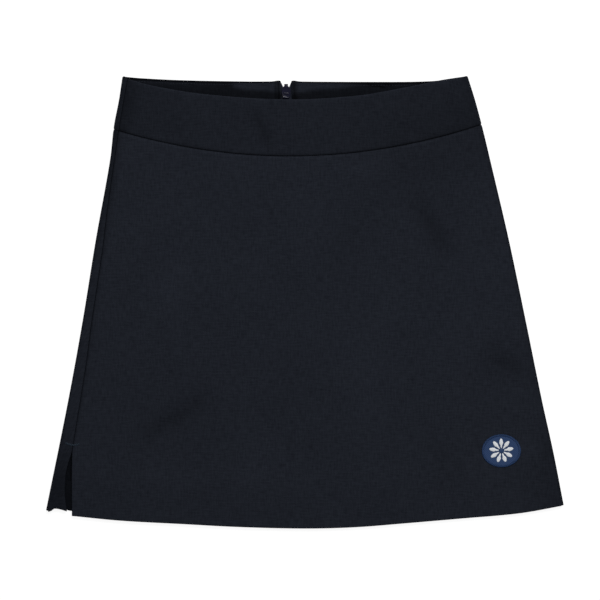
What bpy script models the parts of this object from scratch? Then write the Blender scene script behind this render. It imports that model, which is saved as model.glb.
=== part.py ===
"""A short A-line skirt with a shaped waistband, laid flat on its back, front side up.

Sizes are in millimetres and become metres where a mesh is made.  +X is to the right of the picture
(the wearer's left), +Y runs from the hem to the waist, and +Z is up, away from the surface.
The origin is at the centre of the skirt, on the surface that it lies on.

The skirt is a tube pressed flat, so each cross-section is a closed loop: the front lies on top, the back
lies on the surface, and two round folds join them.  Every cloth piece is a stretch of that loop.  A piece
is lofted through rings, and each ring runs along the outside of the cloth and back along its inside.
"Depth" is the distance from the skirt's outer skin towards its inside.
"""

import math

import bmesh
import bpy

MM = 0.001

# ---- cloth and seams ------------------------------------------------------------------------------------
CLOTH = 1.0  # one layer
SEAM_GAP = 0.3  # between two pieces
DOUBLE = 2 * CLOTH + SEAM_GAP  # two layers: a waistband with its facing, or a turned-up hem
TUCK = 0.4  # how far the edge of a piece rolls in at a seam
TUCK_WIDTH = 1.4
HEM_TURN_UP = 30.0
HEM_ARC_STEPS = 4
CAP_CORNER = 0.3  # share of a rolled top edge's thickness that each of its corners takes
CAP_CORNER_DROP = 0.5
CAP_DROP = 1.0  # height of the rolled top edge
CAP_STEP = 0.1
FOLD_ANGLES = (-60.0, -30.0, 0.0, 30.0, 60.0)  # facets round a side fold
FACING_TOP_DROP = 2.1  # the facing stops below the rolled top edge

# ---- how finely the pieces are divided ------------------------------------------------------------------
FRONT_COLUMNS = 28
BACK_COLUMNS = 10
STRIP_COLUMNS = 2
PANEL_ROWS = 15
BAND_SHARES = (0.15, 0.35, 0.6, 0.85)  # places of the rows down a waistband
EDGE_PASSES = 6  # passes that settle where a curved edge crosses a station
SHARP_ANGLE = 40
BAR_SIDES = 20
TAB_END_STEPS = 8

# ---- outline of the laid skirt --------------------------------------------------------------------------
# The two side folds: height up the skirt, and the place of the fold there.
LEFT_FOLD = (  # y, x
    (226.0, -182.5),
    (202.3, -186.1),
    (176.3, -191.1),
    (142.3, -195.0),
    (62.3, -209.3),
    (-17.7, -222.3),
    (-97.7, -236.8),
    (-208.4, -259.05),
)
RIGHT_FOLD = (  # y, x
    (226.3, 162.8),
    (202.3, 170.3),
    (176.3, 177.3),
    (142.3, 185.5),
    (62.3, 204.2),
    (-17.7, 220.9),
    (-97.7, 237.2),
    (-148.7, 248.4),
    (-202.7, 258.9),
)
FRONT_TOP = (  # x, y
    (-182.5, 226.0),
    (-174.9, 222.8),
    (-149.9, 216.1),
    (-99.9, 208.0),
    (-19.9, 202.7),
    (50.1, 206.3),
    (100.1, 214.7),
    (135.1, 222.0),
    (162.8, 226.3),
)
BACK_TOP = (  # x, y
    (-182.5, 226.0),
    (-164.9, 224.4),
    (-124.9, 222.4),
    (-59.9, 221.1),
    (-18.9, 221.0),
    (75.1, 220.6),
    (120.1, 221.1),
    (145.1, 223.1),
    (162.8, 226.3),
)
BACK_WAIST_SEAM = (  # x, y
    (-191.3, 173.1),
    (-100.0, 169.4),
    (-18.9, 168.3),
    (90.0, 169.6),
    (165.0, 174.6),
    (177.3, 178.1),
)
FRONT_HEM = (  # x, y
    (-232.9, -213.7),
    (-184.9, -218.4),
    (-124.9, -221.7),
    (-64.9, -224.8),
    (0.1, -226.3),
    (50.1, -225.0),
    (100.1, -221.1),
    (155.1, -216.4),
    (215.1, -211.0),
    (258.9, -203.2),
)
BACK_HEM = (  # x, y
    (-257.0, -206.6),
    (-250.0, -205.6),
    (-232.0, -209.2),
    (-180.0, -214.5),
    (-3.0, -223.4),
    (150.0, -213.5),
    (246.0, -201.8),
)
FLAP_HEM = (  # distance from the left fold, y: the strip of the back that lies on top beside the slit
    (0.0, -208.4),
    (4.0, -209.6),
    (8.5, -206.3),
    (25.0, -210.2),
)

# The front's waist seam is a parabola.
WAIST_SEAM_LOW_X = -14.9
WAIST_SEAM_LOW_Y = 146.3
WAIST_SEAM_RISE = 0.00086  # mm of rise for each square mm from the lowest point

# ---- seams ----------------------------------------------------------------------------------------------
LEFT_SEAM = (  # y, x: the side seam that shows on top, and below the bar tack the front edge of its slit
    (225.3, -176.8),
    (176.3, -185.3),
    (93.3, -197.4),
    (52.3, -202.4),
    (-24.2, -213.8),
    (-62.7, -218.9),
    (-140.7, -231.4),
    (-152.0, -232.8),
    (-213.0, -233.0),
)
LEFT_SLIT_SPREAD = (  # y, how far the back's edge of the left slit stands off
    (-142.0, 0.0),
    (-153.0, 3.0),
    (-166.0, 5.7),
    (-177.0, 7.0),
    (-193.0, 7.1),
    (-211.0, 4.6),
)
RIGHT_SEAM_INSET = (  # y, distance from the right fold to the side seam underneath
    (226.0, 5.0),
    (176.0, 6.0),
    (62.0, 7.0),
    (-97.0, 9.5),
    (-148.7, 11.5),
    (-205.0, 15.0),
)
RIGHT_SLIT_SPREAD = (  # y, how far apart the edges of the right slit lie
    (-148.0, 0.0),
    (-165.0, 1.6),
    (-205.0, 3.0),
)
CENTRE_BACK = (  # y, x
    (221.0, -18.9),
    (-223.4, -3.0),
)

# ---- heights --------------------------------------------------------------------------------------------
# Height of the outer skin of the top layer, at the side folds and inside them.
PANEL_HEIGHTS = (  # y, at the fold, inside
    (176.3, 4.7, 3.9),
    (142.3, 4.3, 3.7),
    (62.3, 3.8, 3.4),
    (-17.7, 3.6, 3.1),
    (-97.7, 3.6, 3.1),
    (-160.0, 4.0, 3.2),
    (-226.0, 4.6, 3.8),
)
SEAM_STEP = 0.6  # the panel's skin lies this far below the waistband's at the waist seam
SEAM_RELAX = 80.0  # distance below the seam where the panel no longer follows the waistband
HEM_FOLD_HEIGHT = 5.4  # both layers' turned-up hems lie between the two panels there
HEM_INSIDE_HEIGHT = 5.1
HEM_RISE_FULL = 33.0  # distance above the hem where the layers start to sink
HEM_RISE_END = 68.0  # and where they have sunk
FOLD_RELAX = 48.0  # width over which the top layer leaves the height of the fold
BAND_FOLD_HEIGHT = 2 * (DOUBLE + 0.2)
MOUTH_LIFT_TOP = 3.3  # the waistband's front stands off the back most at the middle of its top edge
MOUTH_LIFT_SEAM = 1.4
MOUTH_POWER = 1.5  # how softly the lift fades towards the side folds
ZIP_RIDGE_BAND = 0.7  # the closed zip under the front lifts it a little
ZIP_RIDGE_PANEL = 2.3
ZIP_RIDGE_WIDTH = 24.0
ZIP_RIDGE_FADE = 45.0  # the ridge fades out over this length below the zip
PULL_LIFT = 1.5  # the back's waistband lies on the zip's pull tab
PULL_LIFT_FULL_Y = 190.0
PULL_LIFT_END_Y = 170.0
PULL_LIFT_FLAT = 4.0  # half width of the lifted part that is level
PULL_LIFT_WIDTH = 32.0
RISE_STATIONS = (4.0, 8.0, 12.0, 17.0, 24.0, 32.0)  # distances from the zip where the rise is followed
RISE_RUN = 160.0  # no waistband strip beside the zip is shorter than this

# Soft creases of the top layer: from one end to the other, half width, height.
CREASES = (  # x0, y0, x1, y1, half width, height
    (-90.0, -86.0, -185.0, -153.0, 19.0, -0.8),
    (100.0, 127.0, 143.0, 40.0, 18.0, -0.9),
    (173.0, -38.0, 225.0, -83.0, 18.0, -0.7),
)

# ---- zip ------------------------------------------------------------------------------------------------
ZIP_END_Y = 44.0
ZIP_ROWS_BENT = (214.0, 208.0, 202.0, 196.0, 190.0, 184.0, 176.0, 170.0, 160.0)  # rows over the pull tab
ZIP_ROWS_FLAT = (130.0, 90.0)
NOTCH = (  # y, half width of the gap between the two back halves at the top of the zip
    (221.3, 5.6),
    (218.3, 4.3),
    (215.3, 2.9),
    (212.3, 1.6),
    (208.3, 0.5),
    (205.3, 0.15),
)
TAPE_WIDTH = 13.0
TAPE_TOP_DROP = 1.6
COIL_INNER = 0.2
COIL_OUTER = 2.2
COIL_THICK = 1.4
COIL_TOP_Y = 202.9
FACING_EDGE = 5.6  # distance from the centre back to the facing's edge
FACING_PAST_NOTCH = 1.0  # and it stays at least this far from the notch's edge
FACING_OVER_TAPE = 15.0  # the facing lies on the tape up to here
FACING_DOWN = 24.0  # and on the waistband from here on
SLIDER_THICK = 2.6
SLIDER_CLEARANCE = 0.15
SLIDER_OUTLINE = (  # y, half width
    (216.9, 1.2),
    (215.6, 2.6),
    (213.6, 3.8),
    (211.4, 4.4),
    (208.6, 4.2),
    (206.0, 3.4),
    (203.9, 3.0),
)
SLIDER_BEVEL = 0.6
HINGE_Y = 217.0
HINGE_Z = 1.35
HINGE_BAR_RADIUS = 0.45
LUG_INNER = 1.25
LUG_OUTER = 1.85
LUG_LENGTH = 2.6
LUG_BELOW_HINGE = 0.7
LUG_ROOF = 0.4  # height of the roof between the lugs, above the slider's bottom
EYE_BORE = 0.6
EYE_RADIUS = 1.1
EYE_HALF_WIDTH = 1.1
TAB_LENGTH = 21.0
TAB_THICK = 0.8
TAB_NECK_HALF = 1.1
TAB_NECK_LENGTH = 3.0
TAB_END_HALF = 2.5
TAB_BOTTOM = 0.25


# ---- curves and surfaces --------------------------------------------------------------------------------
def curve(table, at, column=1):
    """A smooth curve through a table's points, straight beyond its ends."""
    rows = sorted((row[0], row[column]) for row in table)
    if at <= rows[0][0]:
        (x0, y0), (x1, y1) = rows[:2]
        return y0 + (at - x0) * (y1 - y0) / (x1 - x0)
    if at >= rows[-1][0]:
        (x0, y0), (x1, y1) = rows[-2:]
        return y1 + (at - x1) * (y1 - y0) / (x1 - x0)
    i = max(k for k in range(len(rows) - 1) if rows[k][0] <= at)
    (x0, y0), (x1, y1) = rows[i], rows[i + 1]
    xa, ya = rows[max(i - 1, 0)]
    xb, yb = rows[min(i + 2, len(rows) - 1)]
    span = x1 - x0
    slope0 = (y1 - ya) / (x1 - xa) * span
    slope1 = (yb - y0) / (xb - x0) * span
    t = (at - x0) / span
    return (
        y0 * (1 + 2 * t) * (1 - t) ** 2
        + slope0 * t * (1 - t) ** 2
        + y1 * t * t * (3 - 2 * t)
        + slope1 * t * t * (t - 1)
    )


def ease(t):
    """0 to 1 with soft ends."""
    t = min(max(t, 0.0), 1.0)
    return t * t * (3 - 2 * t)


def flat_curve(table, at, column=1):
    """The curve, held at its end values beyond its ends."""
    ends = sorted(row[0] for row in table)
    return curve(table, min(max(at, ends[0]), ends[-1]), column)


def front_waist_seam(x):
    return WAIST_SEAM_LOW_Y + WAIST_SEAM_RISE * (x - WAIST_SEAM_LOW_X) ** 2


def hem_share(x, y):
    """1 where the turned-up hem lies, 0 well above it."""
    above = y - curve(FRONT_HEM, x)
    return 1 - ease((above - HEM_RISE_FULL) / (HEM_RISE_END - HEM_RISE_FULL))


def crease_height(x, y):
    total = 0.0
    for x0, y0, x1, y1, half_width, height in CREASES:
        dx, dy = x1 - x0, y1 - y0
        along = ((x - x0) * dx + (y - y0) * dy) / (dx * dx + dy * dy)
        near = min(max(along, 0.0), 1.0)
        away = math.hypot(x - x0 - near * dx, y - y0 - near * dy)
        total += height * math.exp(-((away / half_width) ** 2)) * math.sin(math.pi * near)
    return total


def pull_lift(x, y):
    """How far the back stands off the surface, over the zip's pull tab."""
    away = abs(x - curve(CENTRE_BACK, y)) - PULL_LIFT_FLAT
    down = (PULL_LIFT_FULL_Y - y) / (PULL_LIFT_FULL_Y - PULL_LIFT_END_Y)
    return PULL_LIFT * (1 - ease(away / PULL_LIFT_WIDTH)) * (1 - ease(down))


def zip_ridge(x, y):
    away = (x - curve(CENTRE_BACK, y)) / ZIP_RIDGE_WIDTH
    return math.exp(-away * away)


def panel_fold_height(x, y):
    """Height of the outer skin at the panels' side folds: twice the fold's radius."""
    low = flat_curve(PANEL_HEIGHTS, y)
    return low + (HEM_FOLD_HEIGHT - low) * hem_share(x, y)


def band_top(x, y):
    """Outer skin of the front waistband, which gapes a little at the middle."""
    left, right = curve(LEFT_FOLD, y), curve(RIGHT_FOLD, y)
    across = (2 * x - left - right) / (right - left)
    mouth = max(1 - across * across, 0.0) ** MOUTH_POWER
    seam, top = front_waist_seam(x), curve(FRONT_TOP, x)
    up = (y - seam) / (top - seam)
    lift = MOUTH_LIFT_SEAM + (MOUTH_LIFT_TOP - MOUTH_LIFT_SEAM) * up
    return BAND_FOLD_HEIGHT + mouth * (lift + ZIP_RIDGE_BAND * zip_ridge(x, y))


def panel_top(x, y):
    """Outer skin of the front panel, and of the back's strip beside it."""
    fold = panel_fold_height(x, y)
    inside = flat_curve(PANEL_HEIGHTS, y, 2)
    inside += zip_ridge(x, y) * ZIP_RIDGE_PANEL * ease((y - ZIP_END_Y) / ZIP_RIDGE_FADE + 1)
    seam = front_waist_seam(x)
    at_seam = band_top(x, seam) - SEAM_STEP
    inside += (at_seam - inside) * (1 - ease((seam - y) / SEAM_RELAX))
    inside += (HEM_INSIDE_HEIGHT - inside) * hem_share(x, y)
    away = min(x - curve(LEFT_FOLD, y), curve(RIGHT_FOLD, y) - x) - fold / 2
    return fold + (inside - fold + crease_height(x, y)) * ease(away / FOLD_RELAX)


# ---- lofting --------------------------------------------------------------------------------------------
class Stretch:
    """One run of stations across the skirt: on top, underneath, or round a fold.

    start and end are functions of y that give x.  A station is (share, inset, roll): x lies at that
    share of the run, moved by inset millimetres, and the outside rolls in by roll millimetres.  Round a
    fold, share is the angle above the fold's middle.
    """

    def __init__(self, kind, stations, start=None, end=None):
        self.kind = kind
        self.stations = stations
        self.start = start
        self.end = end

    def x(self, station, y):
        if self.kind == "left":
            return curve(LEFT_FOLD, y)
        if self.kind == "right":
            return curve(RIGHT_FOLD, y)
        share, inset, _ = station
        return self.start(y) + share * (self.end(y) - self.start(y)) + inset

    def point(self, station, y, depth, top, radius):
        """The point at this station, y and depth.  top is the top layer's height, radius the folds'."""
        if self.kind == "top":
            x = self.x(station, y)
            return x, y, top(x, y) - depth
        if self.kind == "under":
            x = self.x(station, y)
            return x, y, pull_lift(x, y) + depth
        side = 1 if self.kind == "right" else -1
        centre = self.x(station, y)
        reach = radius(centre, y)
        angle = math.radians(station[0])
        x = centre - side * reach + side * (reach - depth) * math.cos(angle)
        return x, y, reach + (reach - depth) * math.sin(angle)


def spread(count, tucks="", towards=1):
    """Stations evenly along a stretch.  Each edge named in tucks, start or end, rolls into its seam.

    towards is -1 for a stretch that runs towards -X, where an inset points the other way.
    """
    stations = [(0.0, 0.0, TUCK if "start" in tucks else 0.0)]
    if "start" in tucks:
        stations.append((0.0, towards * TUCK_WIDTH, 0.0))
    stations += [(i / count, 0.0, 0.0) for i in range(1, count)]
    if "end" in tucks:
        stations.append((1.0, -towards * TUCK_WIDTH, 0.0))
    stations.append((1.0, 0.0, TUCK if "end" in tucks else 0.0))
    return stations


def fold_stations(towards=1):
    """Stations round a fold, from the layer underneath up to the top one, or down again."""
    return [(towards * angle, 0.0, 0.0) for angle in FOLD_ANGLES]


def body_rows(count):
    """Rows down a panel: (share, drop outside, depth outside, drop inside, depth inside).

    A drop is measured down from the place that the share gives.
    """
    rows = [
        (0.0, 0.0, TUCK, 0.0, CLOTH),
        (0.0, TUCK_WIDTH, 0.0, TUCK_WIDTH, CLOTH),
    ]
    rows += [(i / count, 0.0, 0.0, 0.0, CLOTH) for i in range(1, count)]
    return rows


def hem_rows():
    """The hem turns round a small arc and runs back up on the inside."""
    outer = DOUBLE / 2
    inner = SEAM_GAP / 2
    rows = [
        (1.0, -HEM_TURN_UP, 0.0, -HEM_TURN_UP, CLOTH),
        (1.0, -HEM_TURN_UP / 2, 0.0, -HEM_TURN_UP / 2, CLOTH),
    ]
    for i in range(HEM_ARC_STEPS + 1):
        angle = math.pi * i / HEM_ARC_STEPS
        rows.append(
            (
                1.0,
                outer * math.sin(angle) - outer,
                outer - outer * math.cos(angle),
                inner * math.sin(angle) - outer,
                outer - inner * math.cos(angle),
            )
        )
    rows.append((1.0, -HEM_TURN_UP / 2, DOUBLE, -HEM_TURN_UP / 2, DOUBLE - CLOTH))
    rows.append((1.0, -HEM_TURN_UP, DOUBLE, -HEM_TURN_UP, DOUBLE - CLOTH))
    return rows


def row_y(stretch, station, share, drop, upper, lower):
    """The height where a row crosses a station: the edges' heights depend on x, and x on the height."""
    y = 0.0
    for _ in range(EDGE_PASSES):
        x = stretch.x(station, y)
        y = upper(stretch, x, y) + share * (lower(stretch, x, y) - upper(stretch, x, y)) - drop
    return y


def loft(name, rings, material):
    """A closed solid through rings of equal length.  Each ring is an outside run and the inside run back."""
    mesh = bmesh.new()
    loops = [[mesh.verts.new([c * MM for c in point]) for point in ring] for ring in rings]
    size = len(loops[0])
    for upper, lower in zip(loops, loops[1:]):
        for i in range(size):
            j = (i + 1) % size
            mesh.faces.new((upper[i], lower[i], lower[j], upper[j]))
    for loop, turned in ((loops[0], False), (loops[-1], True)):
        for i in range(size // 2 - 1):
            cap = (loop[i], loop[i + 1], loop[size - 2 - i], loop[size - 1 - i])
            mesh.faces.new(cap[::-1] if turned else cap)
    bmesh.ops.recalc_face_normals(mesh, faces=mesh.faces)
    return add_object(name, mesh, material)


def cloth_piece(name, stretches, rows, upper, lower, top, radius, material, depth=None):
    """Lofts a piece of cloth.  depth(x, y) is what lies between it and the skirt's outer skin."""
    run = [(stretch, station) for stretch in stretches for station in stretch.stations]
    rings = []
    for share, drop_out, depth_out, drop_in, depth_in in rows:
        outside, inside = [], []
        for stretch, station in run:
            roll = station[2] if depth_out < depth_in else 0.0
            for points, drop, into in (
                (outside, drop_out, max(depth_out, roll)),
                (inside, drop_in, depth_in),
            ):
                y = row_y(stretch, station, share, drop, upper, lower)
                more = depth(stretch.x(station, y), y) if depth else 0.0
                points.append(stretch.point(station, y, into + more, top, radius))
        rings.append(outside + inside[::-1])
    return loft(name, rings, material)


# ---- objects and materials ------------------------------------------------------------------------------
def make_material(name, colour, roughness, metallic=0.0):
    material = bpy.data.materials.new(name)
    material.use_nodes = True
    shader = material.node_tree.nodes["Principled BSDF"]
    shader.inputs["Base Color"].default_value = (*colour, 1.0)
    shader.inputs["Roughness"].default_value = roughness
    shader.inputs["Metallic"].default_value = metallic
    material.diffuse_color = (*colour, 1.0)
    return material


def add_object(name, mesh, material):
    data = bpy.data.meshes.new(name)
    mesh.to_mesh(data)
    mesh.free()
    data.materials.append(material)
    data.shade_smooth()
    data.set_sharp_from_angle(angle=math.radians(SHARP_ANGLE))
    obj = bpy.data.objects.new(name, data)
    bpy.context.scene.collection.objects.link(obj)
    return obj


def clear_scene():
    for obj in list(bpy.data.objects):
        bpy.data.objects.remove(obj, do_unlink=True)


# ---- edges of the pieces --------------------------------------------------------------------------------
def left_seam(y):
    return curve(LEFT_SEAM, y)


def left_flap_edge(y):
    """The back's edge beside the left seam, and beside the slit below it."""
    spread_there = flat_curve(LEFT_SLIT_SPREAD, y) if y < LEFT_SLIT_SPREAD[0][0] else 0.0
    return left_seam(y) - SEAM_GAP - max(spread_there, 0.0)


def right_seam(y):
    return curve(RIGHT_FOLD, y) - curve(RIGHT_SEAM_INSET, y)


def right_back_edge(y):
    spread_there = flat_curve(RIGHT_SLIT_SPREAD, y) if y < RIGHT_SLIT_SPREAD[0][0] else 0.0
    return right_seam(y) - SEAM_GAP - max(spread_there, 0.0)


def notch_half(y):
    return max(flat_curve(NOTCH, y), SEAM_GAP / 2)


def centre_back(y, side):
    """Edge of the left (1) or right (-1) back half at the centre back."""
    return curve(CENTRE_BACK, y) + side * notch_half(y)


def zip_side_edge(side):
    return lambda y: centre_back(y, side)


def front_top_edge(stretch, x, y):
    return curve(FRONT_TOP, x)


def front_seam_edge(stretch, x, y):
    return front_waist_seam(x)


def front_hem_edge(stretch, x, y):
    return curve(FRONT_HEM, x)


def back_top_edge(stretch, x, y):
    return curve(FRONT_TOP, x) if stretch.kind == "top" else curve(BACK_TOP, x)


def back_seam_edge(stretch, x, y):
    return front_waist_seam(x) if stretch.kind == "top" else curve(BACK_WAIST_SEAM, x)


def back_hem_edge(stretch, x, y):
    if stretch.kind == "under":
        return curve(BACK_HEM, x)
    return flat_curve(FLAP_HEM, x - curve(LEFT_FOLD, y))


def below(edge):
    """An edge one seam gap lower, for the piece that hangs from it."""
    return lambda stretch, x, y: edge(stretch, x, y) - SEAM_GAP


def panel_radius(x, y):
    return panel_fold_height(x, y) / 2


def band_radius(x, y):
    return BAND_FOLD_HEIGHT / 2


def fold_start(side, radius):
    """x where the flat part of a layer meets a fold, as a function of y."""
    fold = RIGHT_FOLD if side > 0 else LEFT_FOLD
    return lambda y: curve(fold, y) - side * radius(curve(fold, y), y)


# ---- panels ---------------------------------------------------------------------------------------------
def front_stretches(radius, count, under_count):
    """From the left seam across the top, round the right fold, and under to the right seam."""
    return [
        Stretch("top", spread(count, "start"), left_seam, fold_start(1, radius)),
        Stretch("right", fold_stations(-1)),
        Stretch("under", spread(under_count, "end", -1), fold_start(1, radius), right_seam),
    ]


def back_right_stretches(radius, count, top_count, start, tucks="start end"):
    """From start, near the centre back, to the left fold, round it, and over to the left seam."""
    return [
        Stretch("under", spread(count, tucks.replace("end", ""), -1), start, fold_start(-1, radius)),
        Stretch("left", fold_stations()),
        Stretch("top", spread(top_count, tucks.replace("start", "")), fold_start(-1, radius), left_flap_edge),
    ]


def back_left_stretches(count, start, tucks="start end"):
    return [Stretch("under", spread(count, tucks), start, right_back_edge)]


def build_panels(cloth):
    rows = body_rows(PANEL_ROWS)[:-1] + hem_rows()
    cloth_piece(
        "front_panel",
        front_stretches(panel_radius, FRONT_COLUMNS, STRIP_COLUMNS),
        rows,
        below(front_seam_edge),
        front_hem_edge,
        panel_top,
        panel_radius,
        cloth,
    )
    cloth_piece(
        "back_panel_right",
        back_right_stretches(panel_radius, BACK_COLUMNS, STRIP_COLUMNS, zip_side_edge(-1)),
        rows,
        below(back_seam_edge),
        back_hem_edge,
        panel_top,
        panel_radius,
        cloth,
    )
    cloth_piece(
        "back_panel_left",
        back_left_stretches(BACK_COLUMNS, zip_side_edge(1)),
        rows,
        below(back_seam_edge),
        back_hem_edge,
        panel_top,
        panel_radius,
        cloth,
    )


# ---- waistband ------------------------------------------------------------------------------------------
def band_rows(wall, cap_depth):
    """Rows down a waistband piece, whose rolled top edge reaches cap_depth in."""
    rows = [
        (0.0, 0.0, CAP_CORNER * cap_depth, 0.0, (1 - CAP_CORNER) * cap_depth),
        (0.0, CAP_CORNER_DROP, 0.0, CAP_CORNER_DROP, cap_depth),
        (0.0, CAP_DROP, 0.0, CAP_DROP, cap_depth),
    ]
    if wall < cap_depth:
        rows.append((0.0, CAP_DROP + CAP_STEP, 0.0, CAP_DROP + CAP_STEP, wall))
    rows += [(share, 0.0, 0.0, 0.0, wall) for share in BAND_SHARES]
    rows.append((1.0, -TUCK_WIDTH, 0.0, -TUCK_WIDTH, wall))
    rows.append((1.0, 0.0, TUCK, 0.0, wall))
    return rows


def facing_rows():
    return [
        (0.0, FACING_TOP_DROP, 0.0, FACING_TOP_DROP, CLOTH),
        *((share, 0.0, 0.0, 0.0, CLOTH) for share in (*BAND_SHARES, 1.0)),
    ]


def facing_depth(x, y):
    """The facing lies on the waistband, and near the zip on the zip's tape."""
    away = abs(x - curve(CENTRE_BACK, y))
    on_band = CLOTH + SEAM_GAP
    share = 1 - ease((away - FACING_OVER_TAPE) / (FACING_DOWN - FACING_OVER_TAPE))
    return on_band + share * (CLOTH + SEAM_GAP)


def facing_edge(side):
    return lambda y: curve(CENTRE_BACK, y) + side * max(FACING_EDGE, notch_half(y) + FACING_PAST_NOTCH)


def near_zip(stations, side):
    """Stations closer together where the cloth rises towards the zip."""
    rising = [(0.0, side * away, 0.0) for away in RISE_STATIONS]
    reach = RISE_STATIONS[-1] / RISE_RUN
    return [stations[0], *rising, *(s for s in stations[1:] if s[0] > reach)]


def build_waistband(cloth, lining):
    cloth_piece(
        "waistband_front",
        front_stretches(band_radius, FRONT_COLUMNS, 1),
        band_rows(DOUBLE, DOUBLE),
        front_top_edge,
        front_seam_edge,
        band_top,
        band_radius,
        cloth,
    )
    for side, word in ((-1, "right"), (1, "left")):
        outer_start = zip_side_edge(side)
        facing_start = facing_edge(side)
        if side < 0:
            outer = back_right_stretches(band_radius, BACK_COLUMNS, 1, outer_start)
            facing = back_right_stretches(band_radius, BACK_COLUMNS, 1, facing_start, tucks="")
        else:
            outer = back_left_stretches(BACK_COLUMNS, outer_start)
            facing = back_left_stretches(BACK_COLUMNS, facing_start, tucks="")
        outer[0].stations = near_zip(outer[0].stations, side)
        facing[0].stations = near_zip(facing[0].stations, side)
        cloth_piece(
            f"waistband_back_{word}",
            outer,
            band_rows(CLOTH, DOUBLE),
            back_top_edge,
            back_seam_edge,
            band_top,
            band_radius,
            cloth,
        )
        cloth_piece(
            f"facing_back_{word}",
            facing,
            facing_rows(),
            back_top_edge,
            back_seam_edge,
            band_top,
            band_radius,
            lining,
            depth=facing_depth,
        )


# ---- zip ------------------------------------------------------------------------------------------------
def zip_rows(top_y, thick):
    """Rows down the zip, closer together where the cloth bends over the pull tab."""
    ys = [top_y]
    ys += [y for y in ZIP_ROWS_BENT if y < top_y - CLOTH]
    ys += [*ZIP_ROWS_FLAT, ZIP_END_Y]
    return [(0.0, top_y - y, 0.0, top_y - y, thick) for y in ys]


def build_zip_strip(name, side, inner, outer, top_y, thick, depth, material):
    """A tape or a coil: a long strip inside the skirt, between two distances from the centre back."""
    stretch = Stretch(
        "under",
        spread(2),
        lambda y: curve(CENTRE_BACK, y) + side * inner(y),
        lambda y: curve(CENTRE_BACK, y) + side * outer,
    )
    level = lambda stretch, x, y: top_y
    cloth_piece(
        name,
        [stretch],
        zip_rows(top_y, thick),
        level,
        level,
        panel_top,
        panel_radius,
        material,
        depth=lambda x, y: depth,
    )


def build_slider(metal):
    """The slider's body on the coils, with two lugs and a bar through the notch for the pull tab."""
    middle = curve(CENTRE_BACK, HINGE_Y)
    low = PULL_LIFT + 2 * (CLOTH + SEAM_GAP) - SEAM_GAP + SLIDER_CLEARANCE
    rim = [(half, y) for y, half in SLIDER_OUTLINE]
    rim += [(-half, y) for y, half in SLIDER_OUTLINE[::-1]]
    mesh = bmesh.new()
    base = mesh.faces.new([mesh.verts.new(((middle + x) * MM, y * MM, low * MM)) for x, y in rim])
    raised = bmesh.ops.extrude_face_region(mesh, geom=[base])["geom"]
    lifted = [v for v in raised if isinstance(v, bmesh.types.BMVert)]
    bmesh.ops.translate(mesh, vec=(0, 0, SLIDER_THICK * MM), verts=lifted)
    bmesh.ops.recalc_face_normals(mesh, faces=mesh.faces)
    top_edges = [e for e in mesh.edges if all(v in lifted for v in e.verts)]
    bmesh.ops.bevel(mesh, geom=top_edges, offset=SLIDER_BEVEL * MM, segments=2, profile=0.5, affect="EDGES")
    slider = add_object("zip_slider", mesh, metal)

    lug_bottom = HINGE_Z - LUG_BELOW_HINGE
    lug_top = low + SLIDER_THICK / 2
    for side in (-1, 1):
        inner, outer = sorted((side * LUG_INNER, side * LUG_OUTER))
        lug = box_object(
            f"lug_{side}",
            (middle + inner, HINGE_Y - LUG_LENGTH / 2, lug_bottom),
            (middle + outer, HINGE_Y + LUG_LENGTH / 2, lug_top),
            metal,
        )
        join_solid(slider, lug, "UNION")
    roof = box_object(
        "lug_roof",
        (middle - LUG_OUTER, HINGE_Y - LUG_LENGTH / 2, low + LUG_ROOF),
        (middle + LUG_OUTER, HINGE_Y + LUG_LENGTH / 2, lug_top),
        metal,
    )
    join_solid(slider, roof, "UNION")
    bar = cylinder_object("hinge_bar", middle, HINGE_BAR_RADIUS, LUG_INNER + LUG_OUTER, metal)
    join_solid(slider, bar, "UNION")


def build_pull(metal):
    """A flat drop-shaped tab with a round eye that turns on the slider's bar."""
    middle = curve(CENTRE_BACK, HINGE_Y)
    end_y = HINGE_Y - TAB_LENGTH
    round_y = end_y + TAB_END_HALF
    rim = [(-TAB_NECK_HALF, HINGE_Y), (TAB_NECK_HALF, HINGE_Y)]
    rim.append((TAB_NECK_HALF, HINGE_Y - TAB_NECK_LENGTH))
    for i in range(TAB_END_STEPS + 1):
        angle = math.pi * i / TAB_END_STEPS
        rim.append((TAB_END_HALF * math.cos(angle), round_y - TAB_END_HALF * math.sin(angle)))
    rim.append((-TAB_NECK_HALF, HINGE_Y - TAB_NECK_LENGTH))
    mesh = bmesh.new()
    base = mesh.faces.new(
        [mesh.verts.new(((middle + x) * MM, y * MM, TAB_BOTTOM * MM)) for x, y in rim]
    )
    raised = bmesh.ops.extrude_face_region(mesh, geom=[base])["geom"]
    lifted = [v for v in raised if isinstance(v, bmesh.types.BMVert)]
    bmesh.ops.translate(mesh, vec=(0, 0, TAB_THICK * MM), verts=lifted)
    bmesh.ops.recalc_face_normals(mesh, faces=mesh.faces)
    pull = add_object("zip_pull", mesh, metal)
    eye = cylinder_object("eye", middle, EYE_RADIUS, 2 * EYE_HALF_WIDTH, metal)
    join_solid(pull, eye, "UNION")
    bore = cylinder_object("eye_bore", middle, EYE_BORE, 4 * EYE_HALF_WIDTH, metal)
    join_solid(pull, bore, "DIFFERENCE")


def box_object(name, low, high, material):
    mesh = bmesh.new()
    bmesh.ops.create_cube(mesh, size=1.0)
    for vert in mesh.verts:
        vert.co = [
            (lo + (hi - lo) * (c + 0.5)) * MM for lo, hi, c in zip(low, high, vert.co)
        ]
    return add_object(name, mesh, material)


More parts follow.
